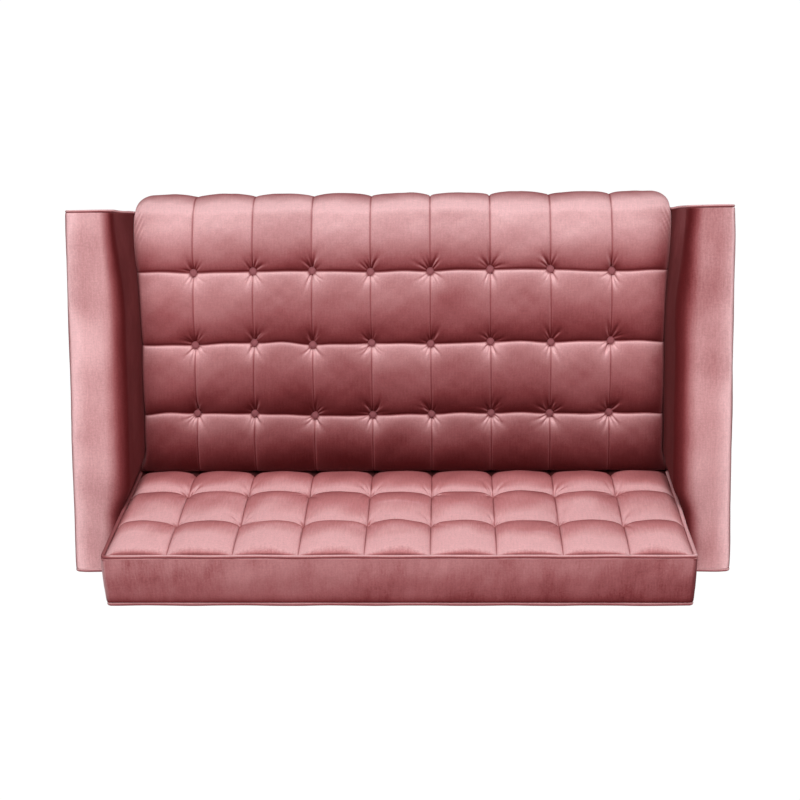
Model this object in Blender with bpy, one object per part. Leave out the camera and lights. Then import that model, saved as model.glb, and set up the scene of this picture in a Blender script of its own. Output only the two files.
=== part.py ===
# Two-seat upholstered loveseat with a biscuit-tufted tight seat and back.
# Units are metres, +Z is up, the sitter faces -Y and the floor is at Z = 0.
# The origin lies under the middle of the loveseat, on the floor.

import math

import bmesh
import bpy
from mathutils import Vector

# Tufting grid shared by the seat and the back
COLUMNS = 9
COLUMN_PITCH = 0.124
BUTTON_ROWS = 3
BUTTON_ROW_PITCH = 0.150
BACK_ROWS = 3
BACK_ROW_HEIGHT = 0.136

# Seat pad
FRONT_TO_FIRST_BUTTONS = 0.141
LAST_BUTTONS_TO_BACK = 0.123
SEAT_HEIGHT = 0.430
SEAT_FALL = math.radians(2.5)
FRONT_ROLL_RADIUS = 0.045
PUFF_HEIGHT = 0.020
COLUMN_SEAM_SHARE = 0.70
ROW_SEAM_BOW_SHARE = 0.20
FRONT_CORNER_WIDTH = 0.037
FRONT_CORNER_SETBACK = 0.026
BUTTON_PIT_DEPTH = 0.005
BUTTON_RADIUS = 0.009
BUTTON_EDGE = 0.0012
BUTTON_DOME = 0.003
BUTTON_SEAT_RADIUS = 0.00225
BUTTON_CROWN_SHARE = 0.70
BUTTON_CROWN_RISE = 0.75

# Back
BACK_RECLINE = math.radians(14.7)
BACK_TOP_BAND = 0.1000
BACK_BAND_FALL = math.radians(23.0)
BACK_PUFF_HEIGHT = 0.020
BACK_CORNER_RADIUS = 0.010
BACK_WELT_RADIUS = 0.0035
BACK_WELT_FOOT = 0.015
BACK_SIDE_WALL = 0.012
BACK_TOP_WALL = 0.020
OUTSIDE_BACK_RAKE = math.radians(9.0)
OUTSIDE_BACK_THICKNESS = 0.005

# Arms
ARM_THICKNESS = 0.093
ARM_TOP_HEIGHT = 0.630
ARM_SETBACK = 0.014
ARM_TO_OUTSIDE_BACK = 0.0132
ARM_OUTER_RADIUS = 0.016
ARM_INNER_RADIUS = 0.022
ARM_TOP_CROWN = 0.004
ARM_TOP_FOAM = 0.028
ARM_WELT_RADIUS = 0.00275
ARM_BOARD_THICKNESS = 0.022

# Seat frame, springs and covers under the seat
LEG_HEIGHT = 0.170
LEG_TOP_RADIUS = 0.023
LEG_KNEE_RADIUS = 0.0200
LEG_FOOT_RADIUS = 0.0125
LEG_COLLAR = 0.030
LEG_KNEE_BELOW_TOP = 0.065
LEG_SPLAY = 0.022
LEG_FROM_SIDE = 0.078
LEG_FROM_FRONT = 0.062
LEG_FROM_REAR = 0.045
RAIL_HEIGHT = 0.100
RAIL_THICKNESS = 0.022
RAIL_SETBACK = 0.004
STRETCHER_HEIGHT = 0.060
CORNER_BLOCK_LEG = 0.105
CORNER_BLOCK_TOE = 0.021
CORNER_BLOCK_HEIGHT = 0.040
SPRING_WIRE_RADIUS = 0.002
SPRING_HALF_WIDTH = 0.025
SPRING_BEND = 0.008
SPRING_BAR_PITCH = 0.048
SPRING_BAR_SLANT = 0.60
TIE_WIRE_RADIUS = 0.0015
TIE_WIRE_DROP = 0.0008
TIE_WIRE_SHARES = (0.35, 0.65)
DECK_CLOTH_THICKNESS = 0.001
DUST_COVER_THICKNESS = 0.001
POST_WIDTH = 0.035
POST_THICKNESS = 0.030
TOP_RAIL_HEIGHT = 0.055

# Clearances between touching pieces
GAP = 0.0003
SEAM_GAP = 0.0008

# Mesh stations across one tuft, and round the arcs
CELL_STOPS = (0.0, 0.12, 0.35, 0.65, 0.88)
HEM_STOPS = ((0.0, 0.0), (0.12, 0.65), (0.50, 0.90))
ROLL_STEPS = 4
ARC_STEPS = 4
BUTTON_SIDES = 10
LEG_SIDES = 16

# Sizes that follow from the ones above
HALF_INNER = COLUMNS * COLUMN_PITCH / 2
HALF_PAD = HALF_INNER - GAP
HALF_OUTER = HALF_INNER + ARM_THICKNESS
BACK_FACE_HEIGHT = BACK_ROWS * BACK_ROW_HEIGHT
BACK_DIRECTION = Vector((0, math.sin(BACK_RECLINE), math.cos(BACK_RECLINE)))
BACK_NORMAL = Vector((0, -math.cos(BACK_RECLINE), math.sin(BACK_RECLINE)))
SEAT_NORMAL = Vector((0, math.sin(SEAT_FALL), math.cos(SEAT_FALL)))
BAND_DIRECTION = Vector((0, math.cos(BACK_BAND_FALL), -math.sin(BACK_BAND_FALL)))
BACK_LAYER = GAP + 2 * BACK_WELT_RADIUS / math.cos(OUTSIDE_BACK_RAKE)
SEAT_RUN = FRONT_TO_FIRST_BUTTONS + (BUTTON_ROWS - 1) * BUTTON_ROW_PITCH + LAST_BUTTONS_TO_BACK
OVERALL_DEPTH = (
    PUFF_HEIGHT
    + SEAT_RUN
    + SEAM_GAP
    + BACK_FACE_HEIGHT * math.sin(BACK_RECLINE)
    + BACK_TOP_BAND * math.cos(BACK_BAND_FALL)
    + BACK_LAYER
    - BACK_WELT_RADIUS * math.tan(OUTSIDE_BACK_RAKE)
)

# Places along Y, from the front of the seat to the outside back
SEAT_FRONT = PUFF_HEIGHT - OVERALL_DEPTH / 2
FIRST_BUTTONS = SEAT_FRONT + FRONT_TO_FIRST_BUTTONS
SEAT_REAR = SEAT_FRONT + SEAT_RUN
ARM_FRONT = SEAT_FRONT + ARM_SETBACK
ARM_PAD_FRONT = ARM_FRONT + 2 * ARM_WELT_RADIUS + GAP
FRONT_RAIL_FACE = ARM_PAD_FRONT + RAIL_SETBACK

# Places along Z, from the floor up
FRAME_BOTTOM = LEG_HEIGHT + DUST_COVER_THICKNESS + 2 * GAP
FRAME_TOP = FRAME_BOTTOM + RAIL_HEIGHT
SPRING_LEVEL = FRAME_TOP + GAP + SPRING_WIRE_RADIUS
DECK_BOTTOM = SPRING_LEVEL + SPRING_WIRE_RADIUS + GAP
PAD_BOTTOM = DECK_BOTTOM + DECK_CLOTH_THICKNESS + GAP
CREASE_HEIGHT = SEAT_HEIGHT - (SEAT_REAR - FIRST_BUTTONS) * math.tan(SEAT_FALL)
ARM_BOARD_TOP = ARM_TOP_HEIGHT - ARM_TOP_FOAM

# Arm board between the two foam sides, and the inside of the seat frame
BOARD_INNER = HALF_INNER + (ARM_THICKNESS - ARM_BOARD_THICKNESS) / 2
BOARD_OUTER = BOARD_INNER + ARM_BOARD_THICKNESS
FRAME_HALF = BOARD_INNER - GAP

BACK_ORIGIN = Vector((0, SEAT_REAR + SEAM_GAP, CREASE_HEIGHT))
BACK_TOP_FRONT = BACK_ORIGIN + BACK_FACE_HEIGHT * BACK_DIRECTION
BACK_TOP_REAR = BACK_TOP_FRONT + BACK_TOP_BAND * BAND_DIRECTION

VELVET = ("rose_velvet", (0.36, 0.115, 0.130), 0.75)
WELT_VELVET = ("rose_velvet_welt", (0.40, 0.150, 0.165), 0.75)
BUTTON_VELVET = ("rose_velvet_button", (0.25, 0.070, 0.080), 0.70)
PLY = ("plywood", (0.55, 0.40, 0.24), 0.60)
HARDWOOD = ("frame_hardwood", (0.50, 0.33, 0.18), 0.60)
WALNUT = ("dark_walnut", (0.070, 0.036, 0.022), 0.40)
BLACK_CLOTH = ("black_non_woven_cloth", (0.020, 0.020, 0.022), 0.90)
DECK_FELT = ("grey_deck_cloth", (0.42, 0.40, 0.37), 0.90)


def material(finish):
    """Return the Principled material of a finish, made once."""
    name, colour, roughness = finish
    made = bpy.data.materials.get(name)
    if made is None:
        made = bpy.data.materials.new(name)
        made.use_nodes = True
        shader = made.node_tree.nodes["Principled BSDF"]
        shader.inputs["Base Color"].default_value = (*colour, 1.0)
        shader.inputs["Roughness"].default_value = roughness
        made.diffuse_color = (*colour, 1.0)
    return made


def steel():
    """Return the spring steel material."""
    made = material(("spring_steel", (0.30, 0.30, 0.31), 0.35))
    made.node_tree.nodes["Principled BSDF"].inputs["Metallic"].default_value = 1.0
    return made


def add_mesh(name, bm, finish, smooth_angle=None):
    """Turn a bmesh into a named object with its material."""
    bmesh.ops.recalc_face_normals(bm, faces=bm.faces)
    mesh = bpy.data.meshes.new(name)
    bm.to_mesh(mesh)
    bm.free()
    if smooth_angle is not None:
        mesh.shade_smooth()
        mesh.set_sharp_from_angle(angle=math.radians(smooth_angle))
    mesh.materials.append(material(finish))
    made = bpy.data.objects.new(name, mesh)
    bpy.context.collection.objects.link(made)
    return made


def add_prism(name, outline, near, far, finish, smooth_angle=None):
    """Extrude a flat outline from its near face to its far face.

    near and far turn each outline point (a, b) into a point in space.
    """
    bm = bmesh.new()
    start = [bm.verts.new(near(a, b)) for a, b in outline]
    end = [bm.verts.new(far(a, b)) for a, b in outline]
    bm.faces.new(start)
    bm.faces.new(end)
    for i in range(len(outline)):
        bm.faces.new([start[i - 1], start[i], end[i], end[i - 1]])
    return add_mesh(name, bm, finish, smooth_angle)


def add_box(name, low, high, finish):
    """Make a square-edged board from its two corners."""
    outline = [(low[0], low[1]), (high[0], low[1]), (high[0], high[1]), (low[0], high[1])]
    return add_prism(
        name,
        outline,
        lambda x, y: Vector((x, y, low[2])),
        lambda x, y: Vector((x, y, high[2])),
        finish,
    )


def add_tube(name, points, radius, made_of, bevel_resolution=1):
    """Sweep a round cord along the points and close its ends."""
    curve = bpy.data.curves.new(name, "CURVE")
    curve.dimensions = "3D"
    curve.bevel_depth = radius
    curve.bevel_resolution = bevel_resolution
    curve.use_fill_caps = True
    curve.render_resolution_u = 0
    spline = curve.splines.new("POLY")
    spline.points.add(len(points) - 1)
    for knot, point in zip(spline.points, points):
        knot.co = (*point, 1.0)
    curve.materials.append(made_of)
    made = bpy.data.objects.new(name, curve)
    bpy.context.collection.objects.link(made)
    return made


def arc(centre, radius, start, end, steps):
    """List the points of an arc in its plane, both ends included."""
    angles = [start + (end - start) * i / steps for i in range(steps + 1)]
    return [(centre[0] + radius * math.cos(t), centre[1] + radius * math.sin(t)) for t in angles]


def puff(phase):
    """Fullness of a tuft across itself: 0 at its seams and 1 in its middle."""
    return max(0.0, math.sin(math.pi * phase)) ** 0.5


def tuft_height(across, fullness, height):
    """Height of the cover over the seam level, from both fullnesses."""
    ridge = fullness * (COLUMN_SEAM_SHARE + (1 - COLUMN_SEAM_SHARE) * across)
    bow = ROW_SEAM_BOW_SHARE * (1 - fullness) * across
    return height * (ridge + bow)


def column_stations():
    """List (x, fullness, seam number) across the tufts of one row."""
    stations = []
    for column in range(COLUMNS):
        for stop in CELL_STOPS:
            x = -HALF_PAD + (column + stop) * 2 * HALF_PAD / COLUMNS
            stations.append((x, puff(stop), column if stop == 0.0 else None))
    stations.append((HALF_PAD, 0.0, COLUMNS))
    return stations


def seam_x(seam):
    """Place of a column seam across the pads."""
    return -HALF_PAD + seam * 2 * HALF_PAD / COLUMNS


def seat_line(y):
    """Height of the seat's seam level at a distance along Y."""
    return SEAT_HEIGHT - (y - FIRST_BUTTONS) * math.tan(SEAT_FALL)


def seat_stations():
    """List (base point, normal, fullness, button row) up the front and over the seat."""
    centre_y = SEAT_FRONT + FRONT_ROLL_RADIUS
    centre_z = seat_line(centre_y) - FRONT_ROLL_RADIUS / math.cos(SEAT_FALL)
    forward = Vector((0, -1, 0))
    stations = []
    for share, fullness in HEM_STOPS:
        z = FRAME_BOTTOM + share * (centre_z - FRAME_BOTTOM)
        stations.append((Vector((0, SEAT_FRONT, z)), forward, fullness, None))
    crest = math.pi / 2 - SEAT_FALL
    for y, z in arc((centre_y, centre_z), FRONT_ROLL_RADIUS, math.pi, crest, ROLL_STEPS):
        normal = Vector((0, y - centre_y, z - centre_z)).normalized()
        stations.append((Vector((0, y, z)), normal, 1.0, None))
    y = FIRST_BUTTONS - (1 - CELL_STOPS[-1]) * BUTTON_ROW_PITCH
    stations.append((Vector((0, y, seat_line(y))), SEAT_NORMAL, puff(CELL_STOPS[-1]), None))
    for row in range(BUTTON_ROWS):
        start = FIRST_BUTTONS + row * BUTTON_ROW_PITCH
        length = BUTTON_ROW_PITCH if row < BUTTON_ROWS - 1 else LAST_BUTTONS_TO_BACK
        for stop in CELL_STOPS:
            y = start + stop * length
            base = Vector((0, y, seat_line(y)))
            stations.append((base, SEAT_NORMAL, puff(stop), row if stop == 0.0 else None))
    return stations


def back_plane_y(z):
    """Place along Y of the back's flat front plane at a height."""
    return BACK_ORIGIN.y + (z - BACK_ORIGIN.z) * math.tan(BACK_RECLINE)


def skin_with_sides(rows, inner):
    """Close a tufted skin with flat sides, ends and an inner face.

    rows are lists of points across the piece, inner lists the (y, z)
    corners of its section behind the skin, from the last row to the first.
    """
    bm = bmesh.new()
    grid = [[bm.verts.new(point) for point in row] for row in rows]
    for near, far in zip(grid, grid[1:]):
        for i in range(len(near) - 1):
            quad = [near[i], near[i + 1], far[i + 1], far[i]]
            bm.faces.new(quad)
    left = [bm.verts.new((rows[0][0].x, y, z)) for y, z in inner]
    right = [bm.verts.new((rows[0][-1].x, y, z)) for y, z in inner]
    bm.faces.new(grid[-1] + [right[0], left[0]])
    for i in range(len(inner) - 1):
        bm.faces.new([left[i], right[i], right[i + 1], left[i + 1]])
    bm.faces.new(grid[0][::-1] + [left[-1], right[-1]])
    bm.faces.new([row[0] for row in grid] + left)
    bm.faces.new([row[-1] for row in grid] + right)
    return bm


def corner_setback(x):
    """How far the rounded front corners of the seat lie back, in plan."""
    share = 1 - (HALF_PAD - abs(x)) / FRONT_CORNER_WIDTH
    share = min(1.0, max(0.0, share))
    return FRONT_CORNER_SETBACK * (1 - math.sqrt(1 - share * share))


def add_seat_pad():
    """Tight seat: tufted top, rolled front and an apron down the front rail."""
    rows = []
    for base, normal, fullness, button_row in seat_stations():
        row = []
        for x, across, seam in column_stations():
            height = tuft_height(across, fullness, PUFF_HEIGHT)
            if base.z <= FRAME_BOTTOM:
                height = COLUMN_SEAM_SHARE * PUFF_HEIGHT
            inside = seam is not None and 0 < seam < COLUMNS
            if button_row is not None and inside:
                height = -BUTTON_PIT_DEPTH
            point = base + normal * height
            setback = corner_setback(x) * max(0.0, -normal.y)
            row.append(Vector((x, point.y + setback, point.z)))
        rows.append(row)
    crease = Vector((0, SEAT_REAR, CREASE_HEIGHT))
    rows.append([Vector((x, crease.y, crease.z)) for x, _, _ in column_stations()])
    foot = back_plane_y(PAD_BOTTOM) - SEAM_GAP
    inner = [
        (foot, PAD_BOTTOM),
        (FRONT_RAIL_FACE - GAP, PAD_BOTTOM),
        (FRONT_RAIL_FACE - GAP, FRAME_BOTTOM),
    ]
    return add_mesh("seat_pad", skin_with_sides(rows, inner), VELVET, 50)


def button_slope():
    """Steepest rise of the cover round a button, as height over distance."""
    near = CELL_STOPS[1]
    pitch = min(BUTTON_ROW_PITCH, LAST_BUTTONS_TO_BACK)
    step_x = near * 2 * HALF_PAD / COLUMNS
    step_y = near * pitch
    rise_x = (tuft_height(puff(near), 0.0, PUFF_HEIGHT) + BUTTON_PIT_DEPTH) / step_x
    rise_y = (tuft_height(0.0, puff(near), PUFF_HEIGHT) + BUTTON_PIT_DEPTH) / step_y
    both = tuft_height(puff(near), puff(near), PUFF_HEIGHT) + BUTTON_PIT_DEPTH
    corner_x = (both - rise_y * step_y) / step_x
    corner_y = (both - rise_x * step_x) / step_y
    rises = [(rise_x, rise_y), (corner_x, rise_y), (rise_x, corner_y)]
    return max(math.hypot(along_x, along_y) for along_x, along_y in rises)


def add_seat_buttons():
    """Covered buttons with a domed face, drawn down into the pits."""
    slope = button_slope()
    pit = GAP * math.hypot(1, slope) - BUTTON_PIT_DEPTH
    rim = pit + slope * BUTTON_RADIUS
    seat = pit + slope * BUTTON_SEAT_RADIUS
    shoulder = rim + BUTTON_EDGE
    profile = [
        (0.0, seat),
        (BUTTON_SEAT_RADIUS, seat),
        (BUTTON_RADIUS, rim),
        (BUTTON_RADIUS, shoulder),
        (BUTTON_CROWN_SHARE * BUTTON_RADIUS, shoulder + BUTTON_CROWN_RISE * BUTTON_DOME),
        (0.0, shoulder + BUTTON_DOME),
    ]
    for row in range(BUTTON_ROWS):
        y = FIRST_BUTTONS + row * BUTTON_ROW_PITCH
        for seam in range(1, COLUMNS):
            add_turned(
                f"seat_button_{row + 1}_{seam}",
                profile,
                Vector((seam_x(seam), y, seat_line(y))),
                SEAT_NORMAL,
                BUTTON_SIDES,
                BUTTON_VELVET,
            )


def add_turned(name, profile, origin, axis, sides, finish):
    """Spin a (radius, height) profile round an axis through the origin given."""
    bm = bmesh.new()
    verts = [bm.verts.new((radius, 0, height)) for radius, height in profile]
    edges = [bm.edges.new(pair) for pair in zip(verts, verts[1:])]
    bmesh.ops.spin(
        bm,
        geom=verts + edges,
        cent=(0, 0, 0),
        axis=(0, 0, 1),
        angle=2 * math.pi,
        steps=sides,
        use_merge=True,
    )
    bmesh.ops.remove_doubles(bm, verts=bm.verts, dist=0.00001)
    made = add_mesh(name, bm, finish, 40)
    made.location = origin
    made.rotation_mode = "QUATERNION"
    made.rotation_quaternion = Vector((0, 0, 1)).rotation_difference(axis)
    return made


def outside_back_y(z):
    """Place along Y of the back pad's rear plane at a height."""
    return BACK_TOP_REAR.y + (z - BACK_TOP_REAR.z) * math.tan(OUTSIDE_BACK_RAKE)


def welt_strip():
    """Width of the flat edge of the back that its front welt lies on, also round a corner."""
    diagonal = math.sqrt(0.5)
    round_corner = (1 - diagonal) * BACK_CORNER_RADIUS + 2 * diagonal * BACK_WELT_RADIUS
    return max(2 * BACK_WELT_RADIUS, round_corner) + 2 * GAP


def back_stations():
    """List (distance up the face, fullness) from the pad's foot to past its top.

    The fullness is None on the flat strips at the foot and under the top welt.
    """
    foot = (PAD_BOTTOM - BACK_ORIGIN.z) / math.cos(BACK_RECLINE)
    stations = [(foot, None), (0.0, None)]
    for row in range(BACK_ROWS):
        for stop in CELL_STOPS:
            stations.append(((row + stop) * BACK_ROW_HEIGHT, puff(stop)))
    del stations[2]
    stations.append((BACK_FACE_HEIGHT - welt_strip(), None))
    stations.append((BACK_FACE_HEIGHT + BACK_WELT_RADIUS, None))
    return stations


def back_columns():
    """List (x, fullness) across the back, with a flat strip for the welt at each side.

    The fullness is None on those strips.
    """
    inner = HALF_PAD - welt_strip()
    outer = HALF_PAD + BACK_WELT_RADIUS
    stations = [(-outer, None), (-inner, None)]
    for column in range(COLUMNS):
        for stop in CELL_STOPS:
            stations.append((seam_x(column + stop), puff(stop)))
    del stations[2]
    return stations + [(inner, None), (outer, None)]


def back_outline(half_width, foot, top, radius):
    """Outline of the back in a front view: square at its foot, rounded at its top corners."""
    right = arc((half_width - radius, top - radius), radius, 0, math.pi / 2, ARC_STEPS)
    left = [(-x, z) for x, z in reversed(right)]
    return [(-half_width, foot), (half_width, foot)] + right + left


def cut(piece, cutter, operation):
    """Add a Boolean between a piece and a cutting body that is kept out of the model."""
    cutter.hide_render = True
    cutter.display_type = "WIRE"
    modifier = piece.modifiers.new(cutter.name, "BOOLEAN")
    modifier.operation = operation
    modifier.solver = "EXACT"
    modifier.object = cutter


def add_back_pad():
    """Tufted back with boxed top and sides, hollow behind for its frame."""
    rows = []
    for along, fullness in back_stations():
        base = BACK_ORIGIN + BACK_DIRECTION * along
        row = []
        for x, across in back_columns():
            flat = across is None or fullness is None
            rise = 0.0 if flat else tuft_height(across, fullness, BACK_PUFF_HEIGHT)
            point = base + BACK_NORMAL * rise
            row.append(Vector((x, point.y, point.z)))
        rows.append(row)
    reach = BACK_TOP_REAR + BACK_WELT_RADIUS * BACK_DIRECTION
    skirt = rear_rail_face() + GAP
    inner = [
        (outside_back_y(reach.z), reach.z),
        (outside_back_y(FRAME_BOTTOM), FRAME_BOTTOM),
        (skirt, FRAME_BOTTOM),
        (skirt, PAD_BOTTOM),
    ]
    pad = add_mesh("back_pad", skin_with_sides(rows, inner), VELVET, 50)

    # The boxing plane trims the top and the sides, with rounded top corners.
    def boxing(depth):
        def place(x, z):
            start = Vector((x, BACK_TOP_FRONT.y, z))
            return start + depth * BAND_DIRECTION
        return place

    outline = back_outline(HALF_PAD, 0.0, BACK_TOP_FRONT.z, BACK_CORNER_RADIUS)
    ends = boxing(-OVERALL_DEPTH), boxing(OVERALL_DEPTH)
    trim = add_prism("back_boxing_cutter", outline, *ends, VELVET)
    cut(pad, trim, "INTERSECT")

    # The pocket behind the foam holds the posts and rails, and under the foam
    # only the two side walls go on down to the foot of the frame.
    half = HALF_PAD - BACK_SIDE_WALL
    top = BACK_TOP_REAR.z - BACK_TOP_WALL
    depth = (POST_THICKNESS + GAP) / math.cos(OUTSIDE_BACK_RAKE)
    front = skirt - OVERALL_DEPTH
    rear = OVERALL_DEPTH
    section = [
        (rear, 0.0),
        (front, 0.0),
        (front, PAD_BOTTOM),
        (outside_back_y(PAD_BOTTOM) - depth, PAD_BOTTOM),
        (outside_back_y(top) - depth, top),
        (rear, top),
    ]
    hollow = add_prism(
        "back_pocket_cutter",
        section,
        lambda y, z: Vector((-half, y, z)),
        lambda y, z: Vector((half, y, z)),
        VELVET,
    )
    cut(pad, hollow, "DIFFERENCE")
    return pad


def add_back_welts():
    """Piping round the tufted face and round the outside back."""
    half = HALF_PAD - BACK_WELT_RADIUS
    radius = BACK_CORNER_RADIUS - BACK_WELT_RADIUS
    lift = BACK_WELT_RADIUS + GAP
    top = BACK_FACE_HEIGHT - BACK_WELT_RADIUS
    route = back_outline(half, BACK_WELT_FOOT, top, radius)[1:] + [(-half, BACK_WELT_FOOT)]
    points = [
        BACK_ORIGIN + Vector((x, 0, 0)) + along * BACK_DIRECTION + lift * BACK_NORMAL
        for x, along in route
    ]
    add_tube("back_front_welt", points, BACK_WELT_RADIUS, material(WELT_VELVET))

    top = BACK_TOP_REAR.z - BACK_WELT_RADIUS
    foot = FRAME_BOTTOM + BACK_WELT_RADIUS * math.sin(OUTSIDE_BACK_RAKE)
    route = back_outline(half, foot, top, radius)[1:] + [(-half, foot)]
    offset = GAP + BACK_WELT_RADIUS / math.cos(OUTSIDE_BACK_RAKE)
    points = [Vector((x, outside_back_y(z) + offset, z)) for x, z in route]
    add_tube("back_rear_welt", points, BACK_WELT_RADIUS, material(WELT_VELVET))


def add_outside_back():
    """Covered panel that closes the rear, inside its welt."""
    inset = 2 * BACK_WELT_RADIUS + GAP
    radius = BACK_CORNER_RADIUS - BACK_WELT_RADIUS
    top = BACK_TOP_REAR.z - inset
    outline = back_outline(HALF_PAD - inset, FRAME_BOTTOM, top, radius)
    add_prism(
        "outside_back",
        outline,
        lambda x, z: Vector((x, outside_back_y(z) + GAP, z)),
        lambda x, z: Vector((x, outside_back_y(z) + GAP + OUTSIDE_BACK_THICKNESS, z)),
        VELVET,
    )


def arm_outline(inset, foot):
    """Section of an arm in a front view, from its outer foot over the top to its inner foot."""
    outer_radius = ARM_OUTER_RADIUS - inset
    inner_radius = ARM_INNER_RADIUS - inset
    shoulder = ARM_TOP_HEIGHT - ARM_TOP_CROWN
    outer_centre = (HALF_OUTER - ARM_OUTER_RADIUS, shoulder - ARM_OUTER_RADIUS)
    inner_centre = (HALF_INNER + ARM_INNER_RADIUS, shoulder - ARM_INNER_RADIUS)
    outer = arc(outer_centre, outer_radius, 0, math.pi / 2, ARC_STEPS)
    inner = arc(inner_centre, inner_radius, math.pi / 2, math.pi, ARC_STEPS)
    middle = (outer[-1][0] + inner[0][0]) / 2
    ridge = [(middle, shoulder + ARM_TOP_CROWN - inset)]
    return [(HALF_OUTER - inset, foot)] + outer + ridge + inner + [(HALF_INNER + inset, foot)]


def arm_rear_y(z):
    """Place along Y of the arm pad's rear plane, parallel to the outside back."""
    layer = GAP + 2 * ARM_WELT_RADIUS / math.cos(OUTSIDE_BACK_RAKE)
    return outside_back_y(z) + BACK_LAYER - ARM_TO_OUTSIDE_BACK - layer


def add_arm(side, name):
    """One arm: board, padded cover, end panels and their piping."""
    inner_foot = PAD_BOTTOM
    slot_inner = BOARD_INNER - GAP
    slot_outer = BOARD_OUTER + GAP
    slot_top = ARM_BOARD_TOP + GAP
    outline = arm_outline(0.0, FRAME_BOTTOM)[:-1] + [
        (HALF_INNER, inner_foot),
        (slot_inner, inner_foot),
        (slot_inner, slot_top),
        (slot_outer, slot_top),
        (slot_outer, FRAME_BOTTOM),
    ]
    add_prism(
        f"arm_cover_{name}",
        outline,
        lambda x, z: Vector((side * x, ARM_PAD_FRONT, z)),
        lambda x, z: Vector((side * x, arm_rear_y(z), z)),
        VELVET,
        40,
    )
    board = [
        (ARM_PAD_FRONT, FRAME_BOTTOM),
        (arm_rear_y(FRAME_BOTTOM), FRAME_BOTTOM),
        (arm_rear_y(ARM_BOARD_TOP), ARM_BOARD_TOP),
        (ARM_PAD_FRONT, ARM_BOARD_TOP),
    ]
    add_prism(
        f"arm_board_{name}",
        board,
        lambda y, z: Vector((side * BOARD_INNER, y, z)),
        lambda y, z: Vector((side * BOARD_OUTER, y, z)),
        PLY,
    )

    # Each end has its welt and its panel in one layer in front of the cover.
    ends = {
        "front": (lambda z: ARM_PAD_FRONT, -1, 1.0),
        "rear": (arm_rear_y, 1, math.cos(OUTSIDE_BACK_RAKE)),
    }
    for end, (plane, outward, slant) in ends.items():
        offset = outward * (GAP + ARM_WELT_RADIUS / slant)
        foot = FRAME_BOTTOM + ARM_WELT_RADIUS * math.sin(OUTSIDE_BACK_RAKE)
        points = [
            Vector((side * x, plane(z) + offset, z))
            for x, z in arm_outline(ARM_WELT_RADIUS, foot)
        ]
        welt = f"arm_{end}_welt_{name}"
        add_tube(welt, points, ARM_WELT_RADIUS, material(WELT_VELVET))
        panel = arm_outline(2 * ARM_WELT_RADIUS + GAP, FRAME_BOTTOM)
        near = outward * GAP
        far = outward * (GAP + 2 * ARM_WELT_RADIUS)
        add_prism(
            f"arm_{end}_panel_{name}",
            panel,
            lambda x, z: Vector((side * x, plane(z) + near, z)),
            lambda x, z: Vector((side * x, plane(z) + far, z)),
            VELVET,
        )


def rear_rail_face():
    """Place along Y of the rear rail's rear face, in front of the posts and the arm ends."""
    posts = outside_back_y(FRAME_BOTTOM) - POST_THICKNESS / math.cos(OUTSIDE_BACK_RAKE) - GAP
    return min(posts, arm_rear_y(FRAME_BOTTOM))


def add_seat_frame():
    """Rails, centre stretcher and corner blocks between the arm boards."""
    front = FRONT_RAIL_FACE
    rear = rear_rail_face()
    add_box(
        "seat_front_rail",
        (-FRAME_HALF, front, FRAME_BOTTOM),
        (FRAME_HALF, front + RAIL_THICKNESS, FRAME_TOP),
        PLY,
    )
    add_box(
        "seat_rear_rail",
        (-FRAME_HALF, rear - RAIL_THICKNESS, FRAME_BOTTOM),
        (FRAME_HALF, rear, FRAME_TOP),
        PLY,
    )
    inside_front = front + RAIL_THICKNESS + GAP
    inside_rear = rear - RAIL_THICKNESS - GAP
    half = RAIL_THICKNESS / 2
    add_box(
        "seat_centre_stretcher",
        (-half, inside_front, FRAME_BOTTOM),
        (half, inside_rear, FRAME_BOTTOM + STRETCHER_HEIGHT),
        HARDWOOD,
    )
    corner = FRAME_HALF - GAP
    block_top = FRAME_BOTTOM + CORNER_BLOCK_HEIGHT
    for end, y, inward in (("front", inside_front, 1), ("rear", inside_rear, -1)):
        for side, name in ((-1, "right"), (1, "left")):
            outline = [
                (side * corner, y),
                (side * (corner - CORNER_BLOCK_LEG), y),
                (side * (corner - CORNER_BLOCK_LEG), y + inward * CORNER_BLOCK_TOE),
                (side * (corner - CORNER_BLOCK_TOE), y + inward * CORNER_BLOCK_LEG),
                (side * corner, y + inward * CORNER_BLOCK_LEG),
            ]
            add_prism(
                f"corner_block_{end}_{name}",
                outline,
                lambda a, b: Vector((a, b, FRAME_BOTTOM)),
                lambda a, b: Vector((a, b, block_top)),
                HARDWOOD,
            )


def add_back_frame():
    """Posts and upright bolted behind the rear rail, raked with the outside back, and a top rail."""
    outer = HALF_PAD - BACK_SIDE_WALL - GAP
    inner = outer - POST_WIDTH
    top = BACK_TOP_REAR.z - BACK_TOP_WALL - GAP
    rear = -GAP
    front = rear - (POST_THICKNESS - GAP) / math.cos(OUTSIDE_BACK_RAKE)

    def raked(name, left, right, low, high):
        outline = [(left, low), (right, low), (right, high), (left, high)]
        add_prism(
            name,
            outline,
            lambda x, z: Vector((x, outside_back_y(z) + front, z)),
            lambda x, z: Vector((x, outside_back_y(z) + rear, z)),
            HARDWOOD,
        )

    raked("back_post_right", -outer, -inner, FRAME_BOTTOM, top)
    raked("back_post_left", inner, outer, FRAME_BOTTOM, top)
    raked("back_top_rail", GAP - inner, inner - GAP, top - TOP_RAIL_HEIGHT, top)
    under_rail = top - TOP_RAIL_HEIGHT - GAP
    raked("back_centre_upright", -POST_WIDTH / 2, POST_WIDTH / 2, FRAME_BOTTOM, under_rail)


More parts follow.
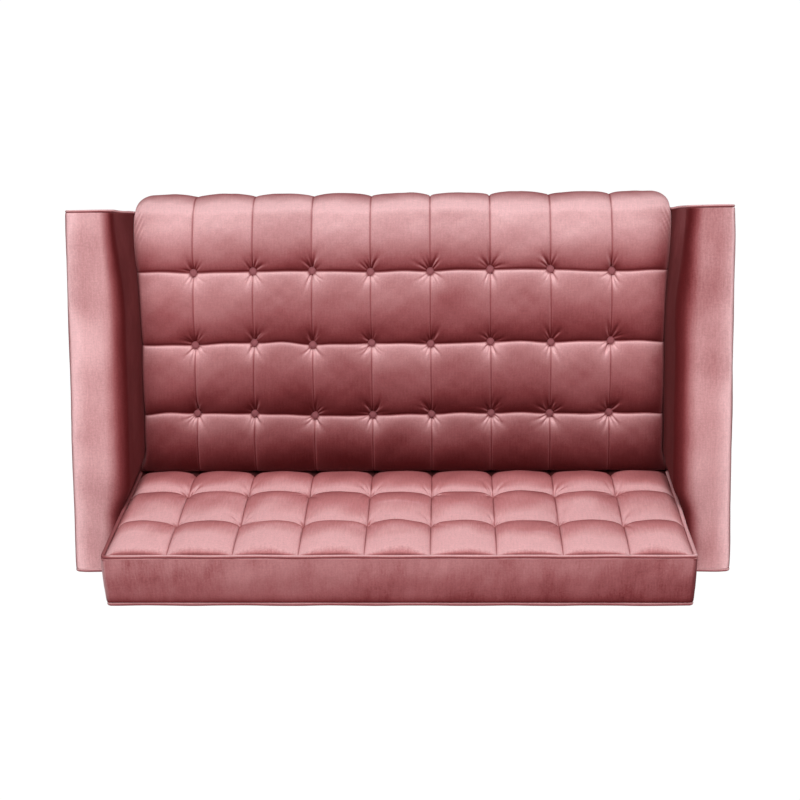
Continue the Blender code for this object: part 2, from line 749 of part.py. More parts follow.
def spring_points(x, start, end):
    """Route of one sinuous spring from rail to rail: slanted bars joined by rounded bends."""
    bars = max(2, round((end - start) / SPRING_BAR_PITCH))
    pitch = (end - start) / bars
    reach = SPRING_HALF_WIDTH - SPRING_BEND
    points = []
    for bar in range(bars):
        side = 1 if bar % 2 == 0 else -1
        y = start + bar * pitch
        bar_end = y + SPRING_BAR_SLANT * pitch
        bend = (bar_end + y + pitch) / 2
        points.append(Vector((x + side * reach, y, SPRING_LEVEL)))
        points.append(Vector((x - side * reach, bar_end, SPRING_LEVEL)))
        points.append(Vector((x - side * SPRING_HALF_WIDTH, bend, SPRING_LEVEL)))
    return points


def add_spring_deck():
    """Sinuous springs clipped from rail to rail and joined by two tie wires."""
    start = FRONT_RAIL_FACE + RAIL_THICKNESS / 2
    end = rear_rail_face() - RAIL_THICKNESS / 2
    made_of = steel()
    reach = seam_x(COLUMNS - 1) + SPRING_HALF_WIDTH
    level = SPRING_LEVEL - TIE_WIRE_DROP
    wires = []
    for seam in range(1, COLUMNS):
        points = spring_points(seam_x(seam), start, end)
        wires.append(add_tube(f"spring_{seam}", points, SPRING_WIRE_RADIUS, made_of, 0))
    for share in TIE_WIRE_SHARES:
        y = start + share * (end - start)
        route = [Vector((-reach, y, level)), Vector((reach, y, level))]
        wires.append(add_tube(f"tie_wire_{share}", route, TIE_WIRE_RADIUS, made_of, 0))
    join_wires("spring_deck", wires, made_of)


def join_wires(name, wires, made_of):
    """Unite the crossing wires into one body."""
    graph = bpy.context.evaluated_depsgraph_get()
    bodies = []
    for wire in wires:
        mesh = bpy.data.meshes.new_from_object(wire.evaluated_get(graph))
        body = bpy.data.objects.new(wire.name + "_body", mesh)
        bpy.context.collection.objects.link(body)
        bodies.append(body)
    for wire in wires:
        bpy.data.objects.remove(wire)
    deck = bodies.pop()
    deck.name = name
    deck.data.materials.clear()
    deck.data.materials.append(made_of)
    for body in bodies[-1:] + bodies[:-1]:
        cut(deck, body, "UNION")
    return deck


def add_seat_covers():
    """Deck cloth over the springs and dust cover under the frame."""
    half = HALF_PAD - RAIL_THICKNESS
    add_box(
        "deck_cloth",
        (-half, FRONT_RAIL_FACE, DECK_BOTTOM),
        (half, rear_rail_face(), DECK_BOTTOM + DECK_CLOTH_THICKNESS),
        DECK_FELT,
    )
    top = FRAME_BOTTOM - GAP
    add_box(
        "dust_cover",
        (-BOARD_OUTER, FRONT_RAIL_FACE, top - DUST_COVER_THICKNESS),
        (BOARD_OUTER, outside_back_y(FRAME_BOTTOM), top),
        BLACK_CLOTH,
    )


def add_legs():
    """Turned tapered legs, splayed towards the corners, with level feet."""
    front = ARM_FRONT + LEG_FROM_FRONT
    rear = rear_rail_face() - LEG_FROM_REAR
    side_place = HALF_OUTER - LEG_FROM_SIDE
    upright = Vector((0, 0, 1))
    profile = [
        (0.0, 0.0),
        (LEG_FOOT_RADIUS, 0.0),
        (LEG_KNEE_RADIUS, LEG_HEIGHT - LEG_KNEE_BELOW_TOP),
        (LEG_TOP_RADIUS, LEG_HEIGHT - LEG_COLLAR),
        (LEG_TOP_RADIUS, LEG_HEIGHT),
        (0.0, LEG_HEIGHT),
    ]
    for end, y, outward in (("front", front, -1), ("rear", rear, 1)):
        for side, name in ((-1, "right"), (1, "left")):
            place = Vector((side * side_place, y, 0))
            leg = add_turned(f"leg_{end}_{name}", profile, place, upright, LEG_SIDES, WALNUT)
            for vert in leg.data.vertices:
                lean = LEG_SPLAY * (1 - vert.co.z / LEG_HEIGHT)
                vert.co.x += side * lean
                vert.co.y += outward * lean


def clear_scene():
    """Remove whatever the file holds."""
    for old in list(bpy.data.objects):
        bpy.data.objects.remove(old)


def build_loveseat():
    """Make every piece of the loveseat in its place."""
    clear_scene()
    add_seat_pad()
    add_seat_buttons()
    add_back_pad()
    add_back_welts()
    add_outside_back()
    add_arm(-1, "right")
    add_arm(1, "left")
    add_seat_frame()
    add_back_frame()
    add_spring_deck()
    add_seat_covers()
    add_legs()


build_loveseat()
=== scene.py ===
"""Dresses a two-seat loveseat: biscuit-tufted velvet seat and back, piped arms, wooden legs."""

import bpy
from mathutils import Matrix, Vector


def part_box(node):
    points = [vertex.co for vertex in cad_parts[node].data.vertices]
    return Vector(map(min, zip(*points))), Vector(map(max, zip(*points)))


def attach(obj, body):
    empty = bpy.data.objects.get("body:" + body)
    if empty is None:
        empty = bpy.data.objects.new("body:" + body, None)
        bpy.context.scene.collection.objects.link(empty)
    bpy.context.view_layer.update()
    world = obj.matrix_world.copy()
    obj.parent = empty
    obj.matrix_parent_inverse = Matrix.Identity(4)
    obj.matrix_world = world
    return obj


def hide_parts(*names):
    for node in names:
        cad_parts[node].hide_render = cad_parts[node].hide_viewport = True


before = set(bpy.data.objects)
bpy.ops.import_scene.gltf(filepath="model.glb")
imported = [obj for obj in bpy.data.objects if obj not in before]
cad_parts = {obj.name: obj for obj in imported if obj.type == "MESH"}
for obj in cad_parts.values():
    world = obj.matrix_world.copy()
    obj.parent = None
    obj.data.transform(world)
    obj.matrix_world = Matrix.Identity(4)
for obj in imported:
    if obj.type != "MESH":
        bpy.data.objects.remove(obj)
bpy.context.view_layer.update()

import math

import bmesh
import bpy
import numpy as np
from mathutils import Matrix, Vector

bl_info = {
    "name": "Tufted velvet loveseat",
    "version": (1, 0, 0),
    "blender": (4, 5, 0),
    "location": "View3D > Sidebar > Loveseat",
    "description": "Velvet covers, piping, buttons, legs and a studio for a tufted loveseat",
    "category": "Add Mesh",
}

# Lengths are in metres, here and everywhere
GAP = 0.0003  # from a piece to what it lies on
BACK_GAP = 0.0008  # from the seat to the back
MERGE = 0.00002  # points that lie nearer to each other are joined
NEAR_PLANE = 0.0005  # what counts as lying on a plane
FINE_STEP = 0.0015  # from one pattern line to the next beside a seam
FINE_REACH = 0.0225  # how far from the seam they lie that close
FRONT_BEND = 1.5  # power of the first row's fall towards the roll
FACE_STRIP = 0.0075  # plain strip at the top and the sides of the back's tufts
ARM_SHOULDER = 0.45  # share of an arm's top that falls to the outer edge
BUTTON_ROWS = 3
BUTTON_REACH = 0.06  # how far from itself a button still draws the cloth
BUTTON_STAND = 0.0038  # from the pit's depth at a button's edge up to that edge
BUTTON_TILT = 0.16  # how far a button may lean either way, in radians
STRAY_X, STRAY_Y = 0.0020, 0.0032  # how far a seam crossing may lie off its mark
SEAM_WIDTH = 0.0018  # half the width of the line that a column seam presses in
SEAM_DEPTH, BACK_SEAM_DEPTH = 0.0009, 0.0014  # of that line, on the seat and on the back
HEM_REACH = 0.05  # height over which the seat's front grows full from its hem
CORNER_FOLD_PITCH = 0.0085  # from one drawn fold to the next at the seat's front corners
CORNER_FOLD_HEIGHT = 0.0036
SIDE_TUCK = 0.016  # how far down the arms draw the seat's sides
PRESS_FRONT, PRESS_REAR = 0.220, 0.055  # runs over which the arms come to press inwards
PIPING_STEP = 0.006  # from one point of the piping's route to the next
END_REACH = 0.022  # from the edge of an arm's end panel to where it is full
PANEL_DEPTH = 0.0048  # thickness of the outside back at its edges

# Shares of the radius, and heights over the widest place
BUTTON_PROFILE = (
    (0.0, -0.0030), (0.62, -0.0030), (0.93, -0.0016), (1.00, 0.0), (0.97, 0.0018),
    (0.85, 0.0037), (0.62, 0.0052), (0.32, 0.0060), (0.0, 0.0062),
)
# Radii, and heights over the floor, up to the top edge
LEG_PROFILE = (
    (0.0, 0.0), (0.0110, 0.0), (0.0122, 0.0008), (0.0126, 0.0022), (0.0158, 0.045),
    (0.0184, 0.082), (0.0201, 0.107), (0.0216, 0.122), (0.0224, 0.1300), (0.0219, 0.1320),
    (0.0219, 0.1335), (0.0229, 0.1350), (0.0230, 0.1370),
)
# Place on the ramp, name of the colour, and its part of the painted red bounce light
VELVET_STOPS = (
    (0.00, "deep", 0.0), (0.10, "wine", 0.0), (0.23, "rose", 0.0),
    (0.42, "pink", 1.0), (0.62, "blush", 1.0), (0.85, "pale", 0.3),
)
# Axis the pile leans round, how far it leans, and the other values of its velvet
VELVETS = {
    "seat_velvet": ((1.0, 0.0, 0.0), 1.0, {}),
    "button_velvet": ((1.0, 0.0, 0.0), 0.65, {"shade": 0.85, "brushed": 2.0}),
    "band_velvet": ((1.0, 0.25, 0.0), 3.2, {"brushed": 3.0}),
    # The back takes painted red bounce light from the seat
    "back_velvet": ((1.0, 0.0, 0.0), 1.18, {"brushed": 1.4, "warmth": 0.22}),
    "arm_velvet": ((0.0, 1.0, 0.0), 1.35, {"brushed": 1.7, "mirrored": True}),
    "rear_velvet": ((-1.0, 0.0, 0.0), 0.7, {}),
    "piping_velvet": ((1.0, 0.0, 0.0), 0.95, {"least": 0.11}),
}
# Place, width and depth, and power
LAMPS = {
    "overhead_softbox": ((0.0, 0.0, 4.6), (5.0, 5.0), 62.0),
    "front_softbox": ((0.0, -1.5, 3.6), (2.4, 1.5), 54.0),
    "rear_softbox": ((0.0, 2.2, 3.0), (2.6, 1.3), 46.0),
    "low_softbox": ((0.0, -3.0, 2.4), (2.6, 1.3), 34.0),
}
LAMP_TARGET = (0.0, 0.0, 0.45)
CAMERA_PLACE = (-0.098, -0.302, 3.550)


# Sizes and colours a user may change


def maker(kind, **settings):
    """A function that makes properties of one kind."""

    def make(name, description, default):
        return kind(name=name, description=description, default=default, **settings)

    return make


whole = maker(bpy.props.IntProperty, min=2)
length = maker(bpy.props.FloatProperty, min=0.0, unit="LENGTH", precision=4)
angle = maker(bpy.props.FloatProperty, subtype="ANGLE")
share = maker(bpy.props.FloatProperty, min=0.0, max=1.0, subtype="FACTOR")
colour = maker(bpy.props.FloatVectorProperty, size=3, min=0.0, max=1.0, subtype="COLOR")


class LoveseatSizes(bpy.types.PropertyGroup):
    """Sizes of the upholstery, as in the frame."""

    columns: whole("Columns", "Tufts across the seat and the back", 9)
    row_pitch: length("Row pitch", "Distance between two rows of buttons", 0.150)
    first_row: length("First row", "From the seat's front line to the first buttons", 0.141)
    last_row: length("Last row", "From the last buttons to the back", 0.123)
    seat_height: length("Seat height", "Height of the first row of buttons", 0.430)
    seat_fall: angle("Seat fall", "Slope of the seat towards the back", math.radians(2.5))
    front_roll: length("Front roll", "Radius of the rolled front edge", 0.048)
    front_drop: length("Front drop", "How far the first row falls towards the roll", 0.030)
    rear_drop: length("Rear drop", "How far the last row falls towards the crease", 0.010)
    seat_crown: length("Seat crown", "Rise of the seat's middle over its ends", 0.004)
    puff: length("Puff", "Rise of a tuft over its seams", 0.022)
    seam_share: share("Seam share", "Height of a column seam as a share of the puff", 0.62)
    seam_bow: share("Seam bow", "Rise of a row seam between two buttons", 0.20)
    corner_width: length("Corner width", "Width of the seat's round front corners", 0.034)
    corner_setback: length("Corner setback", "Depth of the seat's round front corners", 0.018)
    button_radius: length("Button radius", "Radius of a covered button", 0.0082)
    back_rows: whole("Back rows", "Tufts up the back", 3)
    back_row: length("Back row", "Height of a row of tufts on the back", 0.136)
    recline: angle("Recline", "Lean of the tufted face of the back", math.radians(14.7))
    band: length("Band", "Depth of the plain band on top of the back", 0.1000)
    band_fall: angle("Band fall", "Slope of the band towards the rear", math.radians(23.0))
    band_crown: length("Band crown", "Rise of the plain band's middle", 0.0045)
    rake: angle("Rake", "Lean of the outside back", math.radians(9.0))
    back_corner: length("Back corner", "Radius of the back's top corners", 0.010)
    back_puff: length("Back puff", "Rise of a tuft of the back over its seams", 0.0255)
    back_seam_share: share("Back seam share", "The same share on the back", 0.36)
    back_sag: share("Back sag", "Under 1 where the back's tufts are fullest low down", 0.62)
    back_welt: length("Back welt", "Radius of the back's piping", 0.0035)
    arm: length("Arm", "Thickness of an arm", 0.093)
    arm_height: length("Arm height", "Height of an arm over the floor", 0.630)
    arm_setback: length("Arm setback", "From the seat's front line to the arm's front", 0.014)
    arm_to_rear: length("Arm to rear", "From the arm's rear end to the outside back", 0.0132)
    arm_outer: length("Arm outer edge", "Radius of the arm's outer edge", 0.012)
    arm_inner: length("Arm inner edge", "Radius of the arm's inner edge", 0.031)
    arm_bulge: length("Arm bulge", "How far the inner side swells over the seat", 0.0172)
    arm_crown: length("Arm crown", "Fall of an arm's top towards its outer edge", 0.003)
    arm_welt: length("Arm welt", "Radius of the arm's piping", 0.00275)


class LoveseatColours(bpy.types.PropertyGroup):
    """Colours of the finishes. The velvet's go by how far across the pile the eye looks."""

    velvet_deep: colour("Velvet, deep", "Seen straight into the pile", (0.105, 0.013, 0.0145))
    velvet_wine: colour("Velvet, wine", "Seen nearly into the pile", (0.215, 0.045, 0.049))
    velvet_rose: colour("Velvet, rose", "Seen at a slant to the pile", (0.325, 0.100, 0.106))
    velvet_pink: colour("Velvet, pink", "Seen well across the pile", (0.475, 0.205, 0.212))
    velvet_blush: colour("Velvet, blush", "Seen nearly across the pile", (0.645, 0.335, 0.345))
    velvet_pale: colour("Velvet, pale", "Seen straight across the pile", (0.880, 0.525, 0.540))
    walnut_dark: colour("Walnut, dark", "Dark lines of the legs' grain", (0.018, 0.008, 0.005))
    walnut_light: colour("Walnut, light", "Light lines of the legs' grain", (0.085, 0.040, 0.022))
    timber: colour("Frame timber", "Planed hardwood of the hidden frame", (0.50, 0.33, 0.18))
    ply: colour("Plywood", "Plywood of the arm boards and rails", (0.58, 0.43, 0.27))
    steel: colour("Spring steel", "Wire of the springs", (0.32, 0.32, 0.34))
    dust_cloth: colour("Dust cover", "Non-woven cloth under the seat", (0.018, 0.018, 0.020))
    deck_cloth: colour("Deck cloth", "Felted cloth over the springs", (0.42, 0.40, 0.37))
    floor: colour("Floor", "Studio floor", (0.93, 0.93, 0.93))


# Curves that the shapes are put together from


def ramp(value, start, reach):
    """0 at a start and 1 a reach further on, which may lie in either direction."""
    return np.clip((value - start) / reach, 0.0, 1.0)


def bell(distance, width, power=2):
    """1 in the middle, falling towards 0 over about a width."""
    return np.exp(-((distance / width) ** power))


def eased(part):
    """A share from 0 to 1 that starts and ends softly."""
    return part * part * (3 - 2 * part)


def fullness(part):
    """Rise of a tuft across itself: 0 at its seams and 1 in its middle."""
    return np.sin(np.pi * np.clip(part, 0.0, 1.0)) ** 0.5


def half_fullness(distance, reach):
    """Rise of a tuft from one seam, level past its reach."""
    return np.sin(np.pi / 2 * ramp(distance, 0.0, reach)) ** 0.5


def drawn_fullness(part):
    """Rise of a tuft from its front seam, where it is steep, to its rear seam."""
    part = np.clip(part, 0.0, 1.0)
    return np.sin(np.pi * part) ** np.where(part < 0.5, 0.40, 0.62)


def tuft(along, across, seam, bow):
    """Rise of a tuft whose column seams keep a share of it and whose row seams bow up a little."""
    return along * (seam + (1 - seam) * across) + bow * (1 - along) * across


def wander(a, b, size, seed):
    """Smooth irregular values, about -1 to 1, whose bumps have that size."""
    draw = np.random.default_rng(seed)
    total = np.zeros(np.broadcast(a, b).shape)
    for _ in range(8):
        turn, phase = draw.uniform(0, 2 * math.pi, 2)
        stretch = draw.uniform(0.6, 1.4) * 2 * math.pi / size
        total += np.sin((a * math.cos(turn) + b * math.sin(turn)) * stretch + phase)
    return total / 3.0


def nap(u, v, columns, rows, seed, spread):
    """How far the pile of each tuft was stroked off its lay, one value for each tuft."""
    strokes = np.random.default_rng(seed).uniform(-spread, spread, (rows, columns))
    column = np.clip(np.ceil(u).astype(int) - 1, 0, columns - 1)
    row = np.clip(np.ceil(v).astype(int) - 1, 0, rows - 1)
    return strokes[row, column]


class Layout:
    """Places that follow from the sizes, in the frame's axes."""

    def __init__(self, sizes):
        self.sizes = sizes
        seat_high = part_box("seat_pad")[1]
        self.half = seat_high.x
        self.pitch = 2 * self.half / sizes.columns
        self.frame_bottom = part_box("back_pad")[0].z
        self.pad_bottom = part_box("deck_cloth")[1].z + GAP
        self.rail_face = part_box("seat_front_rail")[0].y
        self.rail_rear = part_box("seat_rear_rail")[1].y
        self.seat_rear = seat_high.y
        self.first_buttons = self.seat_rear - sizes.last_row - (BUTTON_ROWS - 1) * sizes.row_pitch
        self.seat_front = self.first_buttons - sizes.first_row
        # The roll ends where the first row's slope begins, which is found by stepping towards it
        radius = sizes.front_roll
        self.roll_y = self.seat_front + radius
        self.roll_end = self.roll_y
        for _ in range(8):
            slope = FRONT_BEND * sizes.front_drop / (self.first_buttons - self.roll_end)
            self.roll_turn = math.atan(slope - math.tan(sizes.seat_fall))
            self.roll_end = self.roll_y - radius * math.sin(self.roll_turn)
        level = self.seat_line(self.roll_end) - sizes.front_drop
        self.roll_z = level - radius * math.cos(self.roll_turn)
        # The back's face starts at its crease with the seat
        sin, cos = math.sin(sizes.recline), math.cos(sizes.recline)
        self.up, self.out = np.array((0.0, sin, cos)), np.array((0.0, -cos, sin))
        self.origin = np.array((0.0, self.seat_rear + BACK_GAP, self.seat_line(self.seat_rear)))
        self.face = sizes.back_rows * sizes.back_row
        self.top_front = self.origin + self.face * self.up
        fall = np.array((0.0, math.cos(sizes.band_fall), -math.sin(sizes.band_fall)))
        self.top_rear = self.top_front + sizes.band * fall
        self.arm_front = self.seat_front + sizes.arm_setback + 2 * sizes.arm_welt + GAP
        self.half_inner = self.half + GAP
        self.half_outer = self.half_inner + sizes.arm

    def seat_line(self, y):
        """Height of the seat's seams along Y."""
        return self.sizes.seat_height - (y - self.first_buttons) * math.tan(self.sizes.seat_fall)

    def crown(self, y):
        """Rise of the whole seat along Y."""
        part = ramp(y, self.roll_y, self.seat_rear - self.roll_y)
        return self.sizes.seat_crown * np.sin(np.pi * part)

    def squeeze(self, y, limit):
        """How far the arms press inwards at a place along Y: 0 at their ends, 1 between."""
        return eased(ramp(y, self.arm_front, PRESS_FRONT)) * eased(ramp(y, limit, -PRESS_REAR))

    def face_y(self, z):
        """Place along Y of the back's tufted face at a height."""
        return self.origin[1] + (z - self.origin[2]) * math.tan(self.sizes.recline)

    def rear_y(self, z):
        """Place along Y of the back pad's rear plane at a height."""
        return self.top_rear[1] + (z - self.top_rear[2]) * math.tan(self.sizes.rake)

    def arm_rear_y(self, z):
        """Place along Y of an arm's rear end at a height."""
        layer = 2 * (self.sizes.back_welt - self.sizes.arm_welt) / math.cos(self.sizes.rake)
        return self.rear_y(z) - self.sizes.arm_to_rear + layer

    def seam_x(self, seam):
        """Place of a column seam across the pads."""
        return seam * self.pitch - self.half

    def seam_distance(self, u):
        """How far pattern columns lie from the nearest column seam, and whether it is sewn."""
        seam = np.round(u)
        return np.abs(u - seam) * self.pitch, (seam > 0.5) & (seam < self.sizes.columns - 0.5)


# Shader building


class Value:
    """A socket of a node tree, with arithmetic written as operators."""

    def __init__(self, tree, socket):
        self.tree = tree
        self.socket = socket

    def math(self, operation, *values, clamp=False):
        """Add a Math node on this socket and the values."""
        node = self.tree.nodes.new("ShaderNodeMath")
        node.operation = operation
        node.use_clamp = clamp
        for slot, value in zip(node.inputs, (self, *values)):
            join(self.tree, slot, value)
        return Value(self.tree, node.outputs[0])

    def __add__(self, other):
        return self.math("ADD", other)

    def __mul__(self, other):
        return self.math("MULTIPLY", other)

    def __sub__(self, other):
        return self.math("SUBTRACT", other)

    def __rsub__(self, other):
        return self * -1.0 + other

    __radd__ = __add__
    __rmul__ = __mul__


def join(tree, slot, value):
    """Link a value into a socket, or set the socket to a number, colour or vector."""
    if isinstance(value, Value):
        tree.links.new(value.socket, slot)
    elif slot.type == "RGBA":
        slot.default_value = (*value, 1.0)
    else:
        slot.default_value = value


class Finish:
    """A new material with its Principled shader and methods that add nodes."""

    def __init__(self, name, **sockets):
        self.material = bpy.data.materials.new(name)
        self.material.use_nodes = True
        self.tree = self.material.node_tree
        self.shader = self.tree.nodes["Principled BSDF"]
        self.output = self.tree.nodes["Material Output"]
        self.set(**sockets)

    def set(self, **sockets):
        """Set or link sockets of the shader, named in lower case with underscores."""
        for name, value in sockets.items():
            title = name.replace("_", " ").title().replace("Ior", "IOR")
            join(self.tree, self.shader.inputs[title], value)

    def node(self, kind, output=0, stops=(), settings=(), **sockets):
        """Add a node and return one of its outputs. A socket is named, or is _0, _1 and so on."""
        node = self.tree.nodes.new("ShaderNode" + kind)
        for key, value in dict(settings).items():
            setattr(node, key, value)
        for number, (place, tint) in enumerate(stops):
            elements = node.color_ramp.elements
            element = elements[number] if number < len(elements) else elements.new(1.0)
            element.position = place
            element.color = (*tint, 1.0)
        for key, value in sockets.items():
            join(self.tree, node.inputs[int(key[1:]) if key[0] == "_" else key], value)
        return Value(self.tree, node.outputs[output])

    def attribute(self, name):
        """A value that settle() or a piece wrote at each point."""
        return self.node("Attribute", 2, settings={"attribute_name": name})

    def vector(self, operation, *values, **sockets):
        """Add a Vector Math node."""
        sockets |= {f"_{number}": value for number, value in enumerate(values)}
        return self.node("VectorMath", settings={"operation": operation}, **sockets)

    def place(self, scale=(1.0, 1.0, 1.0)):
        """Object coordinates, stretched."""
        return self.node("Mapping", Vector=self.node("TexCoord", "Object"), Scale=scale)

    def noise(self, scale, detail, roughness=0.5, stretch=(1.0, 1.0, 1.0)):
        """A Noise texture's value."""
        sockets = {"Scale": scale, "Detail": detail, "Roughness": roughness}
        return self.node("TexNoise", Vector=self.place(stretch), **sockets)

    def blend(self, first, second, factor):
        """Mix two colours."""
        return self.node("Mix", 2, settings={"data_type": "RGBA"}, _0=factor, _6=first, _7=second)

    def relief(self, height, strength, distance):
        """Give the surface a fine relief."""
        self.set(normal=self.node("Bump", Height=height, Strength=strength, Distance=distance))


def tone(base, factor, warmth=0.0):
    """A colour lightened or darkened by a factor, less green and blue for painted red bounce light.
    """
    red, green, blue = (min(1.0, channel * factor) for channel in base)
    return red, green * (1 - warmth), blue * (1 - warmth)


def velvet(
    name, colours, axis, lean, shade=1.0, brushed=1.0, warmth=0.0, least=0.0, mirrored=False
):
    """Short-pile velvet whose pile leans round an axis along the surface.

    Its colour goes from deep to pale with the angle between the eye and the pile.
    lean is how far the pile lies over, as the tangent of its angle, and brushed is how uneven that
    is. A per-point attribute adds to it: how each tuft's pile lies, together with painted
    highlights and painted shade. A second attribute pushes the colour to the deep end as painted
    shade. least keeps the deep end of the colours out. mirrored turns the axis round on the
    loveseat's other half.
    """
    made = Finish(name, roughness=0.62, sheen_weight=0.04, sheen_roughness=0.45)
    made.set(sheen_tint=(1.0, 0.55, 0.55), specular_ior_level=0.0)

    # Brushed patches, long streaks and single spots of the pile
    patches = made.noise(8.0, 1.0)
    streaks = made.noise(1.0, 2.0, 0.6, stretch=(330.0, 38.0, 60.0))
    mottle = made.noise(260.0, 3.0, 0.7)
    pile = made.noise(1300.0, 2.0, 0.7)
    pile_lean_and_painted_light = ((patches - 0.5) * 0.50 + (streaks - 0.5) * 0.20 + (mottle - 0.5) * 0.16) * brushed
    # The per-point attribute adds how each tuft's pile lies, with painted highlights and painted
    # shade
    pile_lean_and_painted_light = pile_lean_and_painted_light + made.attribute("brush")

    if mirrored:
        side = made.node("SeparateXYZ", 0, _0=made.node("TexCoord", "Object")).math("SIGN")
        axis = made.vector("SCALE", axis, Scale=side)
    normal = made.node("NewGeometry", "Normal")
    across = made.vector("CROSS_PRODUCT", axis, normal)
    leaning = made.vector("SCALE", across, Scale=(pile_lean_and_painted_light + 1.0) * lean)
    fibre = made.vector("NORMALIZE", made.vector("ADD", normal, leaning))
    facing = made.node("LayerWeight", "Facing", Blend=0.5, Normal=fibre)
    # Painted shade pushes the colour towards the deep end, and least lifts the deep end again
    facing = facing * (1.0 - made.attribute("crease")) * (1.0 - least) + least
    # Painted red bounce light takes green and blue out of the pink, blush and pale stops
    stops = [
        (place, tone(getattr(colours, f"velvet_{key}"), shade, part * warmth))
        for place, key, part in VELVET_STOPS
    ]
    weft = made.noise(1.0, 1.0, stretch=(40.0, 420.0, 420.0))
    warp = made.noise(1.0, 1.0, stretch=(420.0, 40.0, 40.0))
    grain = (pile - 0.5) * 0.4 + (mottle - 0.5) * 0.30 + (weft + warp - 1.0) * 0.13 + 1.0
    base = made.node("ValToRGB", stops=stops, Fac=facing)
    made.set(base_color=made.vector("SCALE", base, Scale=grain))
    made.relief(pile * 0.5 + mottle * 0.5 + streaks * 0.3, 0.35, 0.0006)
    return made.material


def wood(name, dark, light, stretch, roughness, coat):
    """Wood with long grain, pores and a clear coat."""
    made = Finish(name, coat_weight=coat, coat_roughness=0.12)
    grain = made.noise(1.0, 6.0, 0.62, stretch)
    pores = made.noise(1.0, 3.0, 0.7, tuple(6.0 * s for s in stretch))
    where = made.place(stretch)
    rings = made.node("TexWave", 1, Vector=where, Scale=0.35, Distortion=5.0, Detail=3.0)
    base = made.node("ValToRGB", stops=[(0.25, dark), (0.75, light)], Fac=grain * 0.6 + rings * 0.4)
    made.set(base_color=made.blend(base, dark, (pores - 0.56).math("MULTIPLY", 5.0, clamp=True)))
    made.set(roughness=pores * 0.25 + roughness)
    made.relief(pores * -1.0 + grain * 0.3, 0.25, 0.0004)
    return made.material


def plywood(name, base):
    """Plywood with face grain and dark glue lines on its edges."""
    made = Finish(name, roughness=0.6)
    grain = made.noise(1.0, 5.0, 0.6, stretch=(9.0, 3.0, 60.0))
    plies = made.node("TexWave", 1, Vector=made.place((60.0, 0.0, 60.0)), Scale=1.2, Distortion=0.2)
    face = made.node("ValToRGB", stops=[(0.2, tone(base, 0.6)), (0.8, tone(base, 1.1))], Fac=grain)
    made.set(base_color=made.blend(face, tone(base, 0.45), plies * 0.35))
    made.relief(grain, 0.2, 0.0003)
    return made.material


def wire(name, base):
    """Drawn spring wire with faint rust spots."""
    made = Finish(name, metallic=1.0)
    spots = made.noise(180.0, 4.0, 0.7)
    rust = (spots - 0.62).math("MULTIPLY", 6.0, clamp=True)
    made.set(base_color=made.blend(base, (0.16, 0.07, 0.03), rust), roughness=spots * 0.4 + 0.15)
    return made.material


def felt(name, base, grain):
    """Non-woven or felted cloth with pressed fibres."""
    made = Finish(name, roughness=0.92, specular_ior_level=0.15)
    fibres = made.noise(grain, 5.0, 0.75)
    dots = made.node("TexVoronoi", 0, Vector=made.place(), Scale=420.0)
    stops = [(0.3, tone(base, 0.6)), (0.8, tone(base, 1.5))]
    made.set(base_color=made.node("ValToRGB", stops=stops, Fac=fibres))
    made.relief(fibres + dots * 0.5, 0.4, 0.0004)
    return made.material


# Cloth patterns: a flat grid is closed into a body, then every point goes to its place


def crowded(count, power):
    """Shares from 0 to 1 that lie closer together at both ends."""
    line = np.linspace(-1.0, 1.0, count + 1)
    return (1 + np.sign(line) * (1 - (1 - np.abs(line)) ** power)) / 2


def half_cell(reach, wide):
    """Distances from a seam: fine steps beside it, then wide ones up to the reach."""
    fine = np.arange(0.0, FINE_REACH - FINE_STEP / 2, FINE_STEP)
    return np.concatenate([fine, np.linspace(FINE_REACH, reach, wide + 1)])


def cells(numbers, pitch, wide):
    """Pattern lines across several cells of that pitch, fine beside each seam."""
    half = half_cell(pitch / 2, wide) / pitch
    inside = np.concatenate([half, 1 - half[-2:0:-1]])
    lines = [number + step for number in numbers for step in inside]
    return np.array(lines + [numbers[-1] + 1.0])


def stripped(count, pitch):
    """Pattern lines across several cells, and across a strip at both ends."""
    return np.concatenate([[-1.0, -0.5], cells(range(count), pitch, 8), [count + 0.5, count + 1.0]])


def pattern(columns, rows):
    """A flat grid whose lines lie at the numbers given."""
    bm = bmesh.new()
    across, along = len(columns) - 1, len(rows) - 1
    bmesh.ops.create_grid(bm, x_segments=across, y_segments=along, size=1.0)
    for vert in bm.verts:
        i = round((vert.co.x + 1) / 2 * across)
        j = round((vert.co.y + 1) / 2 * along)
        vert.co = (columns[i], rows[j], 0.0)
    return bm


def grow(bm, edges):
    """Extrude edges and lift the new ones by 1, which place functions read as t. Returns them."""
    grown = bmesh.ops.extrude_edge_only(bm, edges=edges)["geom"]
    fresh = [item for item in grown if isinstance(item, bmesh.types.BMVert)]
    bmesh.ops.translate(bm, verts=fresh, vec=(0.0, 0.0, 1.0))
    fresh = set(fresh)
    return [edge for edge in bm.edges if fresh.issuperset(edge.verts)]


def rims(bm):
    """The open edges of a pattern."""
    return [edge for edge in bm.edges if edge.is_boundary]


def side_rims(bm):
    """The open edges along a pattern's two sides."""
    ends = [pick(vert.co.x for vert in bm.verts) for pick in (min, max)]
    return [e for e in rims(bm) if e.verts[0].co.x == e.verts[1].co.x and e.verts[0].co.x in ends]


def close_ends(bm, steps=0):
    """Give a pattern sides of that many steps, and close what is still open with flat faces."""
    edges = rims(bm)
    for _ in range(steps):
        edges = grow(bm, edges)
    bmesh.ops.holes_fill(bm, edges=edges, sides=0)


